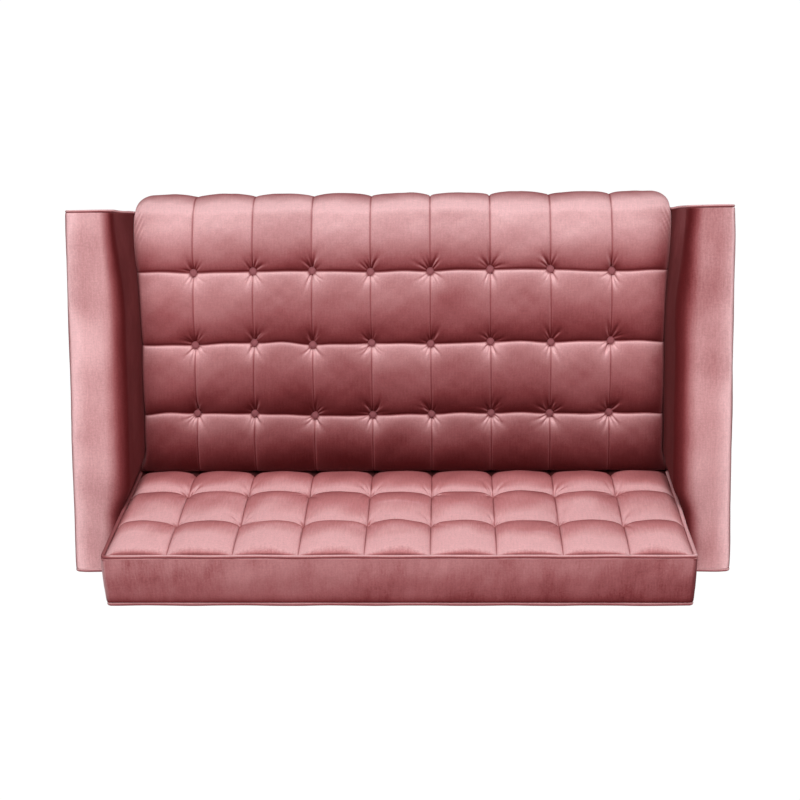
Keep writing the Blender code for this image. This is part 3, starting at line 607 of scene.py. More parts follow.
def settle(bm, place):
    """Move every point of a pattern to its place, and note there its painted shade and how its
    pile lies with painted light.
    """
    painted_shade_layer = bm.verts.layers.float.new("crease")
    lay_and_light_layer = bm.verts.layers.float.new("brush")
    verts = list(bm.verts)
    spots, painted_shades, lays_and_painted_light = place(*np.array([vert.co for vert in verts], float).T)
    painted_shades = np.clip(np.broadcast_to(painted_shades, len(verts)), 0.0, 1.0)
    lays_and_painted_light = np.broadcast_to(lays_and_painted_light, len(verts))
    for vert, spot, crease, brush in zip(verts, spots, painted_shades, lays_and_painted_light):
        vert.co = spot
        vert[painted_shade_layer] = float(crease)
        vert[lay_and_light_layer] = float(brush)


def revolve(profile, steps):
    """A body turned round Z, from radii and heights."""
    bm = bmesh.new()
    verts = [bm.verts.new((radius, 0, z)) for radius, z in profile]
    edges = [bm.edges.new(pair) for pair in zip(verts, verts[1:])]
    turn = {"cent": (0, 0, 0), "axis": (0, 0, 1), "angle": 2 * math.pi, "steps": steps}
    bmesh.ops.spin(bm, geom=verts + edges, use_merge=True, **turn)
    bmesh.ops.remove_doubles(bm, verts=bm.verts, dist=MERGE)
    return bm


def add_object(name, data):
    """A new object of the scene."""
    made = bpy.data.objects.new(name, data)
    bpy.context.scene.collection.objects.link(made)
    return made


def add_mesh(name, bm, material):
    """A new object that a bmesh becomes."""
    mesh = bpy.data.meshes.new(name)
    bm.to_mesh(mesh)
    bm.free()
    mesh.materials.append(material)
    return add_object(name, mesh)


def piece(name, bm, material, node):
    """Turn a bmesh into a finished piece that rides on the loveseat and stands for a CAD node."""
    bmesh.ops.remove_doubles(bm, verts=bm.verts, dist=MERGE)
    bmesh.ops.recalc_face_normals(bm, faces=bm.faces)
    made = add_mesh(name, bm, material)
    made.data.shade_smooth()
    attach(made, "root")
    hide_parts(node)
    return made


# Seat


def seam_shift(seam, row, across):
    """How far a sewer's hand put a seam crossing off its mark."""
    return np.random.default_rng(1000 * row + 10 * seam + int(across)).uniform(-1.0, 1.0)


def crossing(layout, row, seam):
    """Place in plan of a button: row 0 is the front row, seam 1 the first from the right arm."""
    x = layout.seam_x(seam) + STRAY_X * seam_shift(seam, row, True)
    y = layout.first_buttons + row * layout.sizes.row_pitch
    return x, y + STRAY_Y * seam_shift(seam, row, False)


def buttons(layout):
    """Row, seam and place in plan of every button."""
    for row in range(BUTTON_ROWS):
        for seam in range(1, layout.sizes.columns):
            yield row, seam, crossing(layout, row, seam)


def row_seam(layout, row, column):
    """Place along Y of a row seam at pattern columns, from one button to the next."""
    seams = np.arange(layout.sizes.columns + 1)
    straight = np.interp(column, seams, [crossing(layout, row, seam)[1] for seam in seams])
    bow = 0.0020 * wander(column, column * 0, 1.9, 70 + row) - 0.0022
    return straight + np.sin(np.pi * (column % 1.0)) ** 2 * bow


def column_seam(layout, row_place, column):
    """Place along X of pattern columns at a place between the button rows."""
    columns = layout.sizes.columns
    seams, rows = range(columns + 1), range(BUTTON_ROWS)
    marks = np.array([[crossing(layout, row, seam)[0] for row in rows] for seam in seams])
    marks[0, :] = -layout.half
    marks[-1, :] = layout.half
    low = np.clip(np.floor(column).astype(int), 0, columns - 1)
    lines = np.clip(row_place, 0.0, BUTTON_ROWS - 1.0)
    first = np.clip(np.floor(lines).astype(int), 0, BUTTON_ROWS - 2)
    part = lines - first
    near, far = (marks[k, first] * (1 - part) + marks[k, first + 1] * part for k in (low, low + 1))
    return near + (column - low) * (far - near)


def folds(x, y, centre, seed, depth, count=26, reaches=(0.012, 0.030)):
    """Creases that fan out from a button, most of them to its front and its rear."""
    draw = np.random.default_rng(seed)
    dx, dy = x - centre[0], y - centre[1]
    far, turn = np.hypot(dx, dy), np.arctan2(dy, dx)
    total = np.zeros_like(far)
    for number in range(count):
        fan = math.pi / 2 if number % 2 else -math.pi / 2
        middle = fan + draw.normal(0.0, 0.50)
        width = draw.uniform(0.08, 0.13)
        reach = draw.uniform(*reaches)
        bend = draw.uniform(-9.0, 9.0) * (far - 0.008)
        off = (turn - middle - bend + math.pi) % (2 * math.pi) - math.pi
        total -= draw.uniform(0.3, 1.0) * bell(off, width) * bell(far, reach)
    return depth * ramp(far, 0.0055, 0.004) * (total + 0.35 * bell(far, 0.018))


def dimple(far):
    """How deep twine alone draws the cloth in at a distance from it."""
    return 0.0060 * bell(far, 0.013)


def button_pit(far):
    """How deep a button draws the cloth in at a distance from it."""
    return dimple(far) + 0.0058 * bell(far, 0.030)


def seat_path(layout, u, v):
    """Seam level of the seat's cover at its pattern lines, with the way it faces there.

    v runs 0 to 1 up the front, 1 to 2 over the roll, then one more for each row of tufts.
    """
    sizes = layout.sizes
    bend = math.pi - ramp(v, 1.0, 1.0) * (math.pi / 2 - layout.roll_turn)
    rows = [row_seam(layout, row, u) for row in range(BUTTON_ROWS)]
    rows = [np.full_like(u, layout.roll_end), *rows, np.full_like(u, layout.seat_rear)]
    y, place = np.copy(rows[0]), np.full_like(u, -1.0)
    for number, (near, far) in enumerate(zip(rows, rows[1:])):
        part = ramp(v, 2.0 + number, 1.0)
        y += part * (far - near)
        place += part
    x = column_seam(layout, place, u)
    # The first row falls away towards the roll and the last one towards the crease
    first_run, last_run = rows[1] - layout.roll_end, rows[4] - rows[3]
    ahead, behind = ramp(y, rows[1], -first_run), ramp(y, rows[3], last_run)
    slope = FRONT_BEND * sizes.front_drop * np.maximum(ahead, 1e-6) ** (FRONT_BEND - 1) / first_run
    slope -= math.tan(sizes.seat_fall) + 2 * sizes.rear_drop * behind / last_run
    level = layout.seat_line(y) - sizes.front_drop * ahead**FRONT_BEND - sizes.rear_drop * behind**2
    top = v > 2.0
    low_z = layout.frame_bottom + np.clip(v, 0.0, 1.0) * (layout.roll_z - layout.frame_bottom)
    base_y = np.where(top, y, layout.roll_y + sizes.front_roll * np.cos(bend))
    base_z = np.where(top, level, layout.roll_z + sizes.front_roll * np.sin(bend))
    steep = np.hypot(slope, 1.0)
    normal_y = np.where(top, -slope / steep, np.cos(bend))
    normal_z = np.where(top, 1.0 / steep, np.sin(bend))
    return x, base_y, np.where(v <= 1.0, low_z, base_z), normal_y, normal_z, rows


def seat_surface(layout, u, v):
    """Points of the seat's cover, its painted shade, and how its pile lies with painted light."""
    sizes = layout.sizes
    x, y, z, normal_y, normal_z, rows = seat_path(layout, u, v)
    top = v > 2.0

    # Fullness along the rows and across the columns
    first = 1.0 - (rows[1] - y) / (1.2 * sizes.row_pitch)
    along = drawn_fullness(np.where(v <= 3.0, np.maximum(first, 0.5), v % 1.0))
    along = np.where(v <= 2.0, 1.0, along)
    hem = half_fullness(z - layout.frame_bottom, HEM_REACH)
    across = fullness(u % 1.0) * np.where(v < 1.0, hem, 1.0)
    height = sizes.puff * tuft(along, across, sizes.seam_share, sizes.seam_bow) + layout.crown(y)

    # Sewn lines, and the unevenness of foam and of cloth drawn by hand
    from_seam, sewn = layout.seam_distance(u)
    height -= SEAM_DEPTH * sewn * bell(from_seam, SEAM_WIDTH) * along
    last = ramp(y, rows[3], sizes.row_pitch)
    # Painted shade along the column and row seams, and a painted highlight just behind each row
    # seam
    crease = (0.58 + 0.30 * last) * sewn * bell(from_seam, 0.0015)
    past_row = y - np.array(rows[1:4])
    crease = np.maximum(crease, 0.85 * top * bell(np.abs(past_row).min(0), 0.0021))
    painted_highlight = 0.45 * top * bell(np.where(past_row > 0, past_row, 1.0).min(0), 0.0050)
    soft = 0.0010 * wander(x, y + z, 0.10, 5) + 0.0002 * wander(x, y + z, 0.033, 6)
    height += soft * along * across

    # Pits and folds at the buttons, with painted shade in each pit and before it, and a painted
    # highlight behind it
    for row, seam, spot in buttons(layout):
        far = np.hypot(x - spot[0], y - spot[1])
        near = np.flatnonzero(top & (far < BUTTON_REACH))
        far = far[near]
        height[near] += folds(x[near], y[near], spot, 50 * row + seam, 0.0046) - button_pit(far)
        before = np.clip((spot[1] - y[near]) / np.maximum(far, 0.001), -1.0, 1.0)
        shaded = 0.80 * bell(far, 0.0155, 3) * np.clip(before, 0, 1) ** 0.7
        crease[near] = np.maximum.reduce([crease[near], shaded, 0.85 * bell(far, 0.0102, 6)])
        painted_highlight[near] += (0.45 + 0.12 * row) * bell(far, 0.024) * np.clip(-before, 0, 1)

    # Drawn folds at the front corners, beside the arms
    inward = layout.half - np.abs(x)
    forward = layout.seat_front + 0.075 - y
    slant = inward * 0.89 - forward * 0.45
    along_fold = inward * 0.45 + forward * 0.89
    window = bell(along_fold - 0.030, 0.022) * bell(inward - 0.012, 0.014)
    ridges = np.abs(np.sin(slant * math.pi / CORNER_FOLD_PITCH)) - 0.5
    height += CORNER_FOLD_HEIGHT * ridges * window

    # Round front corners, and sides tucked in where the arms press on them, with painted shade in
    # the tuck
    rounding = ramp(inward, sizes.corner_width, -sizes.corner_width)
    setback = sizes.corner_setback * (1 - np.sqrt(1 - rounding**2)) * np.clip(-normal_y, 0.0, 1.0)
    pressed = layout.squeeze(y, layout.seat_rear) * (z > layout.pad_bottom)
    height -= SIDE_TUCK * bell(inward, 0.0065) * pressed
    crease = np.maximum(crease, 0.95 * ramp(inward, 0.01445, -0.0085) * pressed)
    x = x - np.sign(x) * 0.0075 * (np.abs(x) / layout.half) ** 9 * pressed

    # How each tuft's pile lies, and painted light: the first and middle rows lighter,
    # the last row and the sides beside the arms darker
    brush = nap(u, v - 2.0, sizes.columns, BUTTON_ROWS + 1, 7, 0.16) + painted_highlight
    brush += 0.38 * ramp(y, layout.first_buttons, -sizes.first_row)
    brush += 0.09 * ramp(y, rows[1], 0.03) * ramp(y, rows[3], -0.03) - 0.14 * last
    brush -= np.where(x > 0, 0.30, 0.50) * bell(inward, 0.016, 1) * pressed
    front = ramp(y, layout.first_buttons + 0.03, -0.04)
    brush -= np.where(x > 0, 0.06 + 0.24 * front, 0.42 + 0.18 * front) * bell(inward, 0.034)
    return np.stack([x, y + normal_y * height + setback, z + normal_z * height], 1), crease, brush


def make_seat(layout, material):
    """Tufted seat: its skin, and flat sides, underside and hem inside the frame."""
    sizes = layout.sizes
    first = layout.first_buttons - layout.roll_y
    rows = np.concatenate([
        np.linspace(0.0, 1.0, 25)[:-1],
        np.linspace(1.0, 2.0, 21)[:-1],
        3.0 - half_cell(first, 14)[:0:-1] / first,
        cells((3.0, 4.0, 5.0), sizes.row_pitch, 10),
    ])
    bm = pattern(cells(range(sizes.columns), layout.pitch, 8), rows)
    bmesh.ops.bridge_loops(bm, edges=grow(bm, side_rims(bm)))
    close_ends(bm)
    rail = layout.rail_face - GAP
    foot = layout.face_y(layout.pad_bottom) - BACK_GAP

    def place(u, v, t):
        skin, crease, brush = seat_surface(layout, u, v)
        inner_y = rail + ramp(v, 1.0, 5.0) * (foot - rail)
        inner_z = layout.frame_bottom + np.clip(v, 0, 1) * (layout.pad_bottom - layout.frame_bottom)
        inside = np.stack([skin[:, 0], inner_y, inner_z], 1)
        return np.where(t[:, None] > 0.5, inside, skin), crease, brush

    settle(bm, place)
    made = piece("seat_cover", bm, material, "seat_pad")


def make_buttons(layout, material):
    """Covered buttons: a dome of cloth drawn over a blank, its edge tucked under."""
    radius = layout.sizes.button_radius
    for row, seam, (x, y) in buttons(layout):
        bm = revolve([(part * radius, z) for part, z in BUTTON_PROFILE], 32)
        draw = np.random.default_rng(300 + 10 * row + seam)
        puckers = draw.integers(9, 14)
        phase, *tilts = draw.uniform(-1, 1, 3)
        for vert in bm.verts:
            turn = math.atan2(vert.co.y, vert.co.x)
            edge = (math.hypot(vert.co.x, vert.co.y) / radius) ** 4
            vert.co.z += 0.00022 * edge * math.sin(puckers * turn + 3 * phase)
        z = layout.seat_line(y) + layout.crown(y) - button_pit(radius) + BUTTON_STAND
        tilt_x, tilt_y = (BUTTON_TILT * tilt for tilt in tilts)
        turned = Matrix.Rotation(tilt_x - layout.sizes.seat_fall, 4, "X")
        turned = Matrix.Translation((x, y, z)) @ turned @ Matrix.Rotation(tilt_y, 4, "Y")
        bmesh.ops.transform(bm, matrix=turned, verts=bm.verts)
        place = f"{row + 1}_{seam}"
        piece(f"covered_button_{place}", bm, material, f"seat_button_{place}")


# Back


def back_face(layout, u, v):
    """Points of the back's tufted face, how far up it they lie, their painted shade, and how
    their pile lies with painted light.

    u counts columns, v counts rows up from the crease.
    """
    sizes = layout.sizes
    columns, rows = sizes.columns, sizes.back_rows
    inner = layout.half - FACE_STRIP
    seams = [layout.seam_x(seam) for seam in range(1, columns)]
    marks = [-layout.half, -inner, *seams, inner, layout.half]
    x = np.interp(u, np.arange(-1, columns + 2), marks)
    foot = (layout.pad_bottom - layout.origin[2]) / math.cos(sizes.recline)
    marks = [foot, *(sizes.back_row * np.arange(rows)), layout.face - FACE_STRIP, layout.face]
    along = np.interp(v, np.arange(-1, rows + 2), marks)

    # The lowest tufts are flatter and fullest high up, the others sag
    inside = (u >= 0) & (u <= columns) & (v >= 0) & (v <= rows)
    lowest = v < 1.0
    row_full = fullness((v % 1.0) ** np.where(lowest, 1.4, sizes.back_sag))
    column_full = fullness(u % 1.0)
    seam = np.where(lowest, 1.25, 1.0) * sizes.back_seam_share
    rise = tuft(row_full, column_full, seam, sizes.seam_bow) * np.where(lowest, 0.88, 1.0)
    height = inside * sizes.back_puff * rise * half_fullness(inner + 0.0001 - np.abs(x), 0.020)
    height += 0.0012 * inside * wander(x, along, 0.09, 15) * row_full * column_full

    # Sewn lines, which open into notches where the back goes down behind the seat
    below = ramp(v, -1.0, 1.0)
    height -= 0.012 * ramp(v, 0.25, -0.25) * below
    from_seam, sewn = layout.seam_distance(u)
    notch = sewn * bell(from_seam, 0.0075) * ramp(v, 0.45, -0.45) * below
    sewn = sewn & inside
    height -= 0.009 * notch + BACK_SEAM_DEPTH * sewn * bell(from_seam, SEAM_WIDTH) * row_full
    # Painted shade along the seams, in the notches and along the crease with the seat
    crease = np.maximum(0.40 * sewn * bell(from_seam, 0.0009), 0.75 * notch)
    crease = np.maximum(crease, 0.85 * ramp(v, 0.07, -0.07))

    # Blind tufts where the seams cross, with painted shade in each dimple
    for row in range(1, rows):
        for seam in range(1, columns):
            spot = (layout.seam_x(seam), row * sizes.back_row)
            far = np.hypot(x - spot[0], along - spot[1])
            near = np.flatnonzero(inside & (far < BUTTON_REACH))
            seed = 900 + 50 * row + seam
            drawn = folds(x[near], along[near], spot, seed, 0.0030, 14, (0.014, 0.038))
            height[near] += drawn - dimple(far[near])
            crease[near] = np.maximum(crease[near], 0.6 * bell(far[near], 0.006))

    along = along + 0.0012 * inside * wander(u, np.round(v), 1.7, 21) * np.clip(v, 0, 1)
    points = layout.origin + along[:, None] * layout.up + height[:, None] * layout.out
    points[:, 0] = x
    # How each tuft's pile lies, and painted light: a painted highlight at the top of each row, and
    # the face painted lighter towards its top
    painted_lip_highlight = bell(1 - v % 1.0, 0.10) * (v > 0) * (v < rows - 0.3)
    brush = nap(u, v, columns, rows, 8, 0.12) - 0.25 * painted_lip_highlight
    brush -= 0.20 * (np.clip(v, 0, rows) / rows - 0.4) + 0.25 * ramp(v, rows - 0.60, 0.4)
    return points, along, crease, inside * brush


def round_top(half, radius, x, rest):
    """Draw points near the top corners in, so that the outline turns round a radius.

    half is where the sides lie along X, and rest how far below the top each point lies.
    """
    side, up = ramp(np.abs(x), half - radius, radius), ramp(rest, radius, -radius)
    drawn = radius * (1 - np.maximum(side, up) / np.maximum(np.hypot(side, up), 1e-6))
    return x - np.sign(x) * side * drawn, rest + up * drawn


def make_back(layout, material, band_material):
    """Tufted back with a plain band over its top and sides, closed behind."""
    sizes = layout.sizes
    bm = pattern(stripped(sizes.columns, layout.pitch), stripped(sizes.back_rows, sizes.back_row))
    tufted = set(bm.faces)
    rings = 18
    close_ends(bm, rings)
    for face in bm.faces:
        face.material_index = int(face not in tufted)
    depths = crowded(rings, 1.5)
    low_z, floor_z, top_z = layout.pad_bottom, layout.frame_bottom, layout.top_front[2]
    # Behind the rear rail the pad goes down to the foot of the frame
    face_y = layout.origin[1]
    skirt = (layout.rail_rear + 0.002 - face_y) / (layout.rear_y(floor_z) - face_y)

    def place(u, v, t):
        points, along, crease, brush = back_face(layout, u, v)
        x, rest = round_top(layout.half, sizes.back_corner, points[:, 0], layout.face - along)
        points[:, 0] = x
        depth = depths[np.round(t).astype(int)]
        front_z = layout.origin[2] + (layout.face - rest) * layout.up[2]
        level = ramp(front_z, low_z, top_z - low_z)
        low = low_z + (floor_z - low_z) * ramp(depth, skirt - 0.02, 0.04)
        z = low + level * (top_z + depth * (layout.top_rear[2] - top_z) - low)
        front_y = layout.face_y(front_z)
        y = front_y + depth * (layout.rear_y(z) - front_y)
        # The band is a little full, with small drawn puckers towards its rear corners
        full = np.sin(np.pi * depth) ** np.where(depth < 0.5, 1.0, 0.35)
        pucker = 0.00012 * wander(x, y, 0.030, 31) + 0.0009 * wander(x, y, 0.16, 32)
        z = z + ramp(level, 0.985, 0.015) * full * (sizes.band_crown + pucker)
        at_side = (np.abs(x) > layout.half - NEAR_PLANE) * ramp(z, sizes.arm_height + 0.004, 0.03)
        ring = np.stack([x + 0.0012 * np.sign(x) * at_side * full, y, z], 1)
        strokes = 0.13 * wander(x, 0.6 * y, 0.07, 33) + 0.08 * wander(x, 0.45 * y, 0.024, 34)
        on_band = t > 0.5
        spots = np.where(on_band[:, None], ring, points)
        # Painted shade towards the band's rear edge
        crease = np.where(on_band, 0.60 * ramp(depth, 0.74, 0.24) ** 2, crease)
        return spots, crease, np.where(on_band, strokes, brush)

    settle(bm, place)
    made = piece("back_cover", bm, material, "back_pad")
    made.data.materials.append(band_material)
    made.data.set_sharp_from_angle(angle=math.radians(70))


def outline(half, low, top, radius):
    """Outline in a front view: upright sides and a level top with round corners."""
    turns = np.linspace(0.0, math.pi / 2, 11)
    corner = zip(half - radius + radius * np.cos(turns), top - radius + radius * np.sin(turns))
    right = [(half, low), *corner]
    return right + [(-x, z) for x, z in reversed(right)]


def make_welt(name, points, radius, material, node, seed):
    """Piping: cloth sewn round a cord, laid along a route with a hand's unevenness."""
    route = [Vector(points[0])]
    for target in map(Vector, points[1:]):
        start = route[-1]
        steps = max(1, round((target - start).length / PIPING_STEP))
        route += [start.lerp(target, (step + 1) / steps) for step in range(steps)]
    curve = bpy.data.curves.new(name, "CURVE")
    curve.dimensions = "3D"
    curve.bevel_depth = radius
    curve.bevel_resolution = 3
    curve.use_fill_caps = True
    spline = curve.splines.new("POLY")
    spline.points.add(len(route) - 1)
    phases = np.random.default_rng(seed).uniform(0, 2 * math.pi, 4)
    far, before = 0.0, route[0]
    for knot, spot in zip(spline.points, route):
        far += (spot - before).length
        before = spot
        wave = sum(math.sin(far * k + p) for k, p in zip((17.0, 31.0, 55.0, 90.0), phases))
        stray = [0.0004 * math.sin(far * k + p) for k, p in zip((23.0, 37.0, 29.0), phases)]
        knot.co = (*(spot + Vector(stray)), 1.0)
        knot.radius = 1.0 + 0.018 * wave
    holder = add_object(name, curve)
    graph = bpy.context.evaluated_depsgraph_get()
    mesh = bpy.data.meshes.new_from_object(holder.evaluated_get(graph))
    bpy.data.objects.remove(holder)
    bm = bmesh.new()
    bm.from_mesh(mesh)
    return piece(name, bm, material, node)


def make_back_welts(layout, material):
    """Piping round the tufted face and round the outside back."""
    sizes = layout.sizes
    radius = sizes.back_welt
    half = layout.half - radius
    corner = sizes.back_corner - radius
    ahead = layout.origin + (radius + GAP) * layout.out
    points = [
        ahead + along * layout.up + np.array((x, 0.0, 0.0))
        for x, along in outline(half, 0.015, layout.face - radius, corner)
    ]
    made = make_welt("back_front_piping", points, radius, material, "back_front_welt", 61)
    # Painted shade darkens the piping down the sitter's left side
    shaded = [0.8 * float(ramp(v.co.x, layout.half - 0.02, 0.01)) for v in made.data.vertices]
    made.data.attributes.new("crease", "FLOAT", "POINT").data.foreach_set("value", shaded)
    low = layout.frame_bottom + radius * math.sin(sizes.rake)
    offset = GAP + radius / math.cos(sizes.rake)
    route = outline(half, low, layout.top_rear[2] - radius, corner)
    points = [(x, layout.rear_y(z) + offset, z) for x, z in route]
    make_welt("back_rear_piping", points, radius, material, "back_rear_welt", 62)


def make_outside_back(layout, material):
    """Plain panel that closes the rear, tight inside its piping."""
    sizes = layout.sizes
    inset = 2 * sizes.back_welt + GAP
    half = layout.half - inset
    top = layout.top_rear[2] - inset
    bm = pattern(np.linspace(-1, 1, 121), np.linspace(0, 1, 81))
    steps = 3
    close_ends(bm, steps)

    def place(u, v, t):
        rest = (1 - v) * (top - layout.frame_bottom)
        x, rest = round_top(half, sizes.back_corner - sizes.back_welt, u * half, rest)
        z = top - rest
        edge = np.minimum(half - np.abs(x), np.minimum(rest, z - layout.frame_bottom))
        soft = 0.0012 + 0.0008 * wander(x, z, 0.22, 41) + 0.0001 * wander(x, z, 0.05, 42)
        depth = PANEL_DEPTH + ramp(edge, 0.0, 0.02) ** 0.5 * soft
        depth = np.where(t > 0.5, PANEL_DEPTH * (1 - t / steps), depth)
        return np.stack([x, layout.rear_y(z) + GAP + depth, z], 1), 0.0, 0.0

    settle(bm, place)
    made = piece("outside_back_cover", bm, material, "outside_back")


# Arms


def arm_section(layout, inset, foot, inner_foot):
    """Section of an arm in a front view, from its outer foot over the top to its inner foot."""
    sizes = layout.sizes
    outer, inner, top = sizes.arm_outer, sizes.arm_inner, sizes.arm_height
    steps = np.linspace(0.0, 1.0, 17)
    level = steps[1:-1]
    fall = math.atan(2 * sizes.arm_crown / (ARM_SHOULDER * (sizes.arm - outer - inner)))
    turned = steps * (math.pi / 2 - fall)
    outer_x = layout.half_outer - outer + (outer - inset) * np.cos(turned)
    outer_z = top - sizes.arm_crown - outer * math.cos(fall) + (outer - inset) * np.sin(turned)
    turned = (steps + 1) * math.pi / 2
    left = layout.half_inner + inner
    inner_x = left + (inner - inset) * np.cos(turned)
    inner_z = top - inner + (inner - inset) * np.sin(turned)
    level_x = outer_x[-1] + (left - outer_x[-1]) * level
    level_z = top - inset - sizes.arm_crown * ramp(level, ARM_SHOULDER, -ARM_SHOULDER) ** 2
    xs = [layout.half_outer - inset, *outer_x, *level_x, *inner_x, layout.half_inner + inset]
    zs = [foot, *outer_z, *level_z, *inner_z, inner_foot]
    return np.array([xs, zs])


def make_arm_cover(layout, side, name, material):
    """Velvet over an arm's foam, from its outer foot over the top to the seat."""
    sizes = layout.sizes
    section = arm_section(layout, 0.0, layout.frame_bottom, layout.pad_bottom)
    lengths = np.concatenate([[0.0], np.cumsum(np.hypot(*np.diff(section)))])
    total = lengths[-1]
    outer, inner = np.linspace(0.0, lengths[1], 26), np.linspace(lengths[-2], total, 22)
    stations = np.concatenate([outer[:-1], lengths[1:-1], inner[1:]])
    bm = pattern(stations, crowded(120, 1.25))
    # The cloth goes on under the seat and down the board to the foot of the frame
    feet = side_rims(bm)
    inner_foot = [edge for edge in feet if edge.verts[0].co.x > total / 2]
    outer_foot = [edge for edge in feet if edge.verts[0].co.x < total / 2]
    bmesh.ops.bridge_loops(bm, edges=grow(bm, grow(bm, inner_foot)) + outer_foot)
    close_ends(bm)
    board_inner = min(abs(corner.x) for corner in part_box(f"arm_board_{name}")) - GAP
    left = side > 0
    seed = 80 if left else 90

    def along(u):
        return np.array([np.interp(u, lengths, line) for line in section])

    def place(u, v, t):
        x, z = along(u)
        run_x, run_z = along(np.minimum(u + 0.001, total)) - along(np.maximum(u - 0.001, 0))
        run = np.maximum(np.hypot(run_x, run_z), 1e-9)
        normal_x, normal_z = run_z / run, -run_x / run
        under, down = t > 0.5, t > 1.5
        x = np.where(under, board_inner, x)
        z = np.where(down, layout.frame_bottom, np.where(under, layout.pad_bottom, z))
        y = layout.arm_front + v * (layout.arm_rear_y(z) - layout.arm_front)
        full = ramp(0.66 * np.minimum(v, 1 - v), 0.0, 0.05) ** 0.5
        soft = 0.0006 * wander(y, u, 0.20, seed) + 0.00012 * wander(y, u, 0.045, seed + 1)
        swell = full * (0.0012 + soft) - 0.0006
        swell = np.where(under | (z < layout.pad_bottom + 0.02), 0.0, swell)

        # The inner side swells over the seat, between the arm's front end and the back
        levels = (layout.pad_bottom, sizes.seat_height, sizes.arm_height - 0.07)
        press = layout.squeeze(y, np.maximum(layout.face_y(z), layout.seat_rear))
        press = press * np.interp(z, levels, (0.0, 0.75, 1.0))
        across = ramp(x, layout.half_outer - sizes.arm_outer, sizes.arm_outer - sizes.arm)
        x = x - np.where(under, 0.0, sizes.arm_bulge * press * across**1.5)

        # Painted shade on the inner side and where the cover turns down to the seat,
        # more so on the right arm
        tuck = ramp(z, sizes.arm_height - 0.03, -0.13) * (across > 0.9)
        turned = ramp(-normal_x, 0.30, 0.36) ** 1.5
        deep, least = (0.62, 0.0) if left else (0.90, 0.3)
        crease = deep * np.maximum(tuck, 0.8 * turned * np.clip(v / 0.15, least, 1.0))
        # The pile wanders, and painted light: the outer side darker, the left arm lighter round its
        # inner shoulder near the front, the right arm darker near the front
        brush = 0.20 * wander(y, 0.5 * u, 0.16, seed + 2) * (1 - turned)
        brush -= 0.40 * ramp(normal_x, 0.92, 0.07)
        if left:
            shoulder = ramp(-normal_x, 0.05, 0.2) * ramp(-normal_x, 0.90, -0.2)
            brush += 0.75 * shoulder * bell(v, 0.30)
        else:
            brush -= 0.34 * bell(v, 0.24)
        return np.stack([side * (x + normal_x * swell), y, z + normal_z * swell], 1), crease, brush

    settle(bm, place)
    made = piece(f"arm_velvet_{name}", bm, material, f"arm_cover_{name}")


def make_arm_end(layout, side, name, end, material, piping):
    """End panel of an arm, a little full, inside its piping."""
    sizes = layout.sizes
    front = end == "front"
    outward = -1 if front else 1
    low = layout.frame_bottom
    edge_x, edge_z = arm_section(layout, 2 * sizes.arm_welt + GAP, low, low)[:, 1:-1]
    stations = np.arange(len(edge_x), dtype=float)
    bm = pattern(stations, np.linspace(0.0, 1.0, 61))
    close_ends(bm, 1)

    def plane(z):
        return layout.arm_front + 0 * z if front else layout.arm_rear_y(z)

    def place(u, v, t):
        x, top = np.interp(u, stations, edge_x), np.interp(u, stations, edge_z)
        z = low + v * (top - low)
        full = half_fullness(np.minimum(edge_x[0] - x, x - edge_x[-1]), END_REACH)
        full = full * half_fullness(np.minimum(top - z, z - low), END_REACH)
        depth = 0.0031 + full * (0.0017 + 0.0003 * wander(x, z, 0.15, 70 + side))
        return np.stack([side * x, plane(z) + outward * (GAP + depth * (1 - t)), z], 1), 0.0, 0.0

    settle(bm, place)
    made = piece(f"arm_{end}_face_{name}", bm, material, f"arm_{end}_panel_{name}")
    radius = sizes.arm_welt
    offset = outward * (GAP + radius / (1.0 if front else math.cos(sizes.rake)))
    foot = low + radius * math.sin(sizes.rake)
    route = arm_section(layout, radius, foot, foot).T
    points = [(side * x, plane(z) + offset, z) for x, z in route]
    seed = (63 if front else 65) + (side > 0)
    make_welt(f"arm_{end}_piping_{name}", points, radius, piping, f"arm_{end}_welt_{name}", seed)


# Legs and cloths


def make_leg(node, material):
    """Turned and splayed leg with a collar, a knee and a soft foot edge."""
    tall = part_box(node)[1].z
    spots = np.array([vert.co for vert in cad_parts[node].data.vertices])
    top = spots[spots[:, 2] > tall - NEAR_PLANE].mean(0)
    foot = spots[spots[:, 2] < NEAR_PLANE].mean(0)
    bm = revolve([*LEG_PROFILE, (0.0230, tall - 0.001), (0.0226, tall), (0.0, tall)], 48)
    for vert in bm.verts:
        middle = foot + vert.co.z / tall * (top - foot)
        vert.co.x += middle[0]
        vert.co.y += middle[1]
    made = piece("turned_" + node, bm, material, node)
    made.data.set_sharp_from_angle(angle=math.radians(35))


def make_cloth(name, node, material, sag, seed):
    """Stretched cloth that sags a little between its staples."""
    low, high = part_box(node)
    bm = pattern(np.linspace(low.x, high.x, 81), np.linspace(low.y, high.y, 49))
    close_ends(bm, 1)
    lower = high.z - 0.4 * (high.z - low.z)

    def place(x, y, t):
        u, v = ramp(x, low.x, high.x - low.x), ramp(y, low.y, high.y - low.y)
        drop = (np.sin(np.pi * u) * np.sin(np.pi * v)) ** 0.7
        drop = drop * (sag + 0.25 * sag * wander(x, y, 0.2, seed))
        return np.stack([x, y, np.where(t > 0.5, high.z, lower - drop)], 1), 0.0, 0.0

    settle(bm, place)
    made = piece(name, bm, material, node)


# Studio


def seen_by_camera(tree):
    """1 where the camera sees the surface directly."""
    return Value(tree, tree.nodes.new("ShaderNodeLightPath").outputs["Is Camera Ray"])


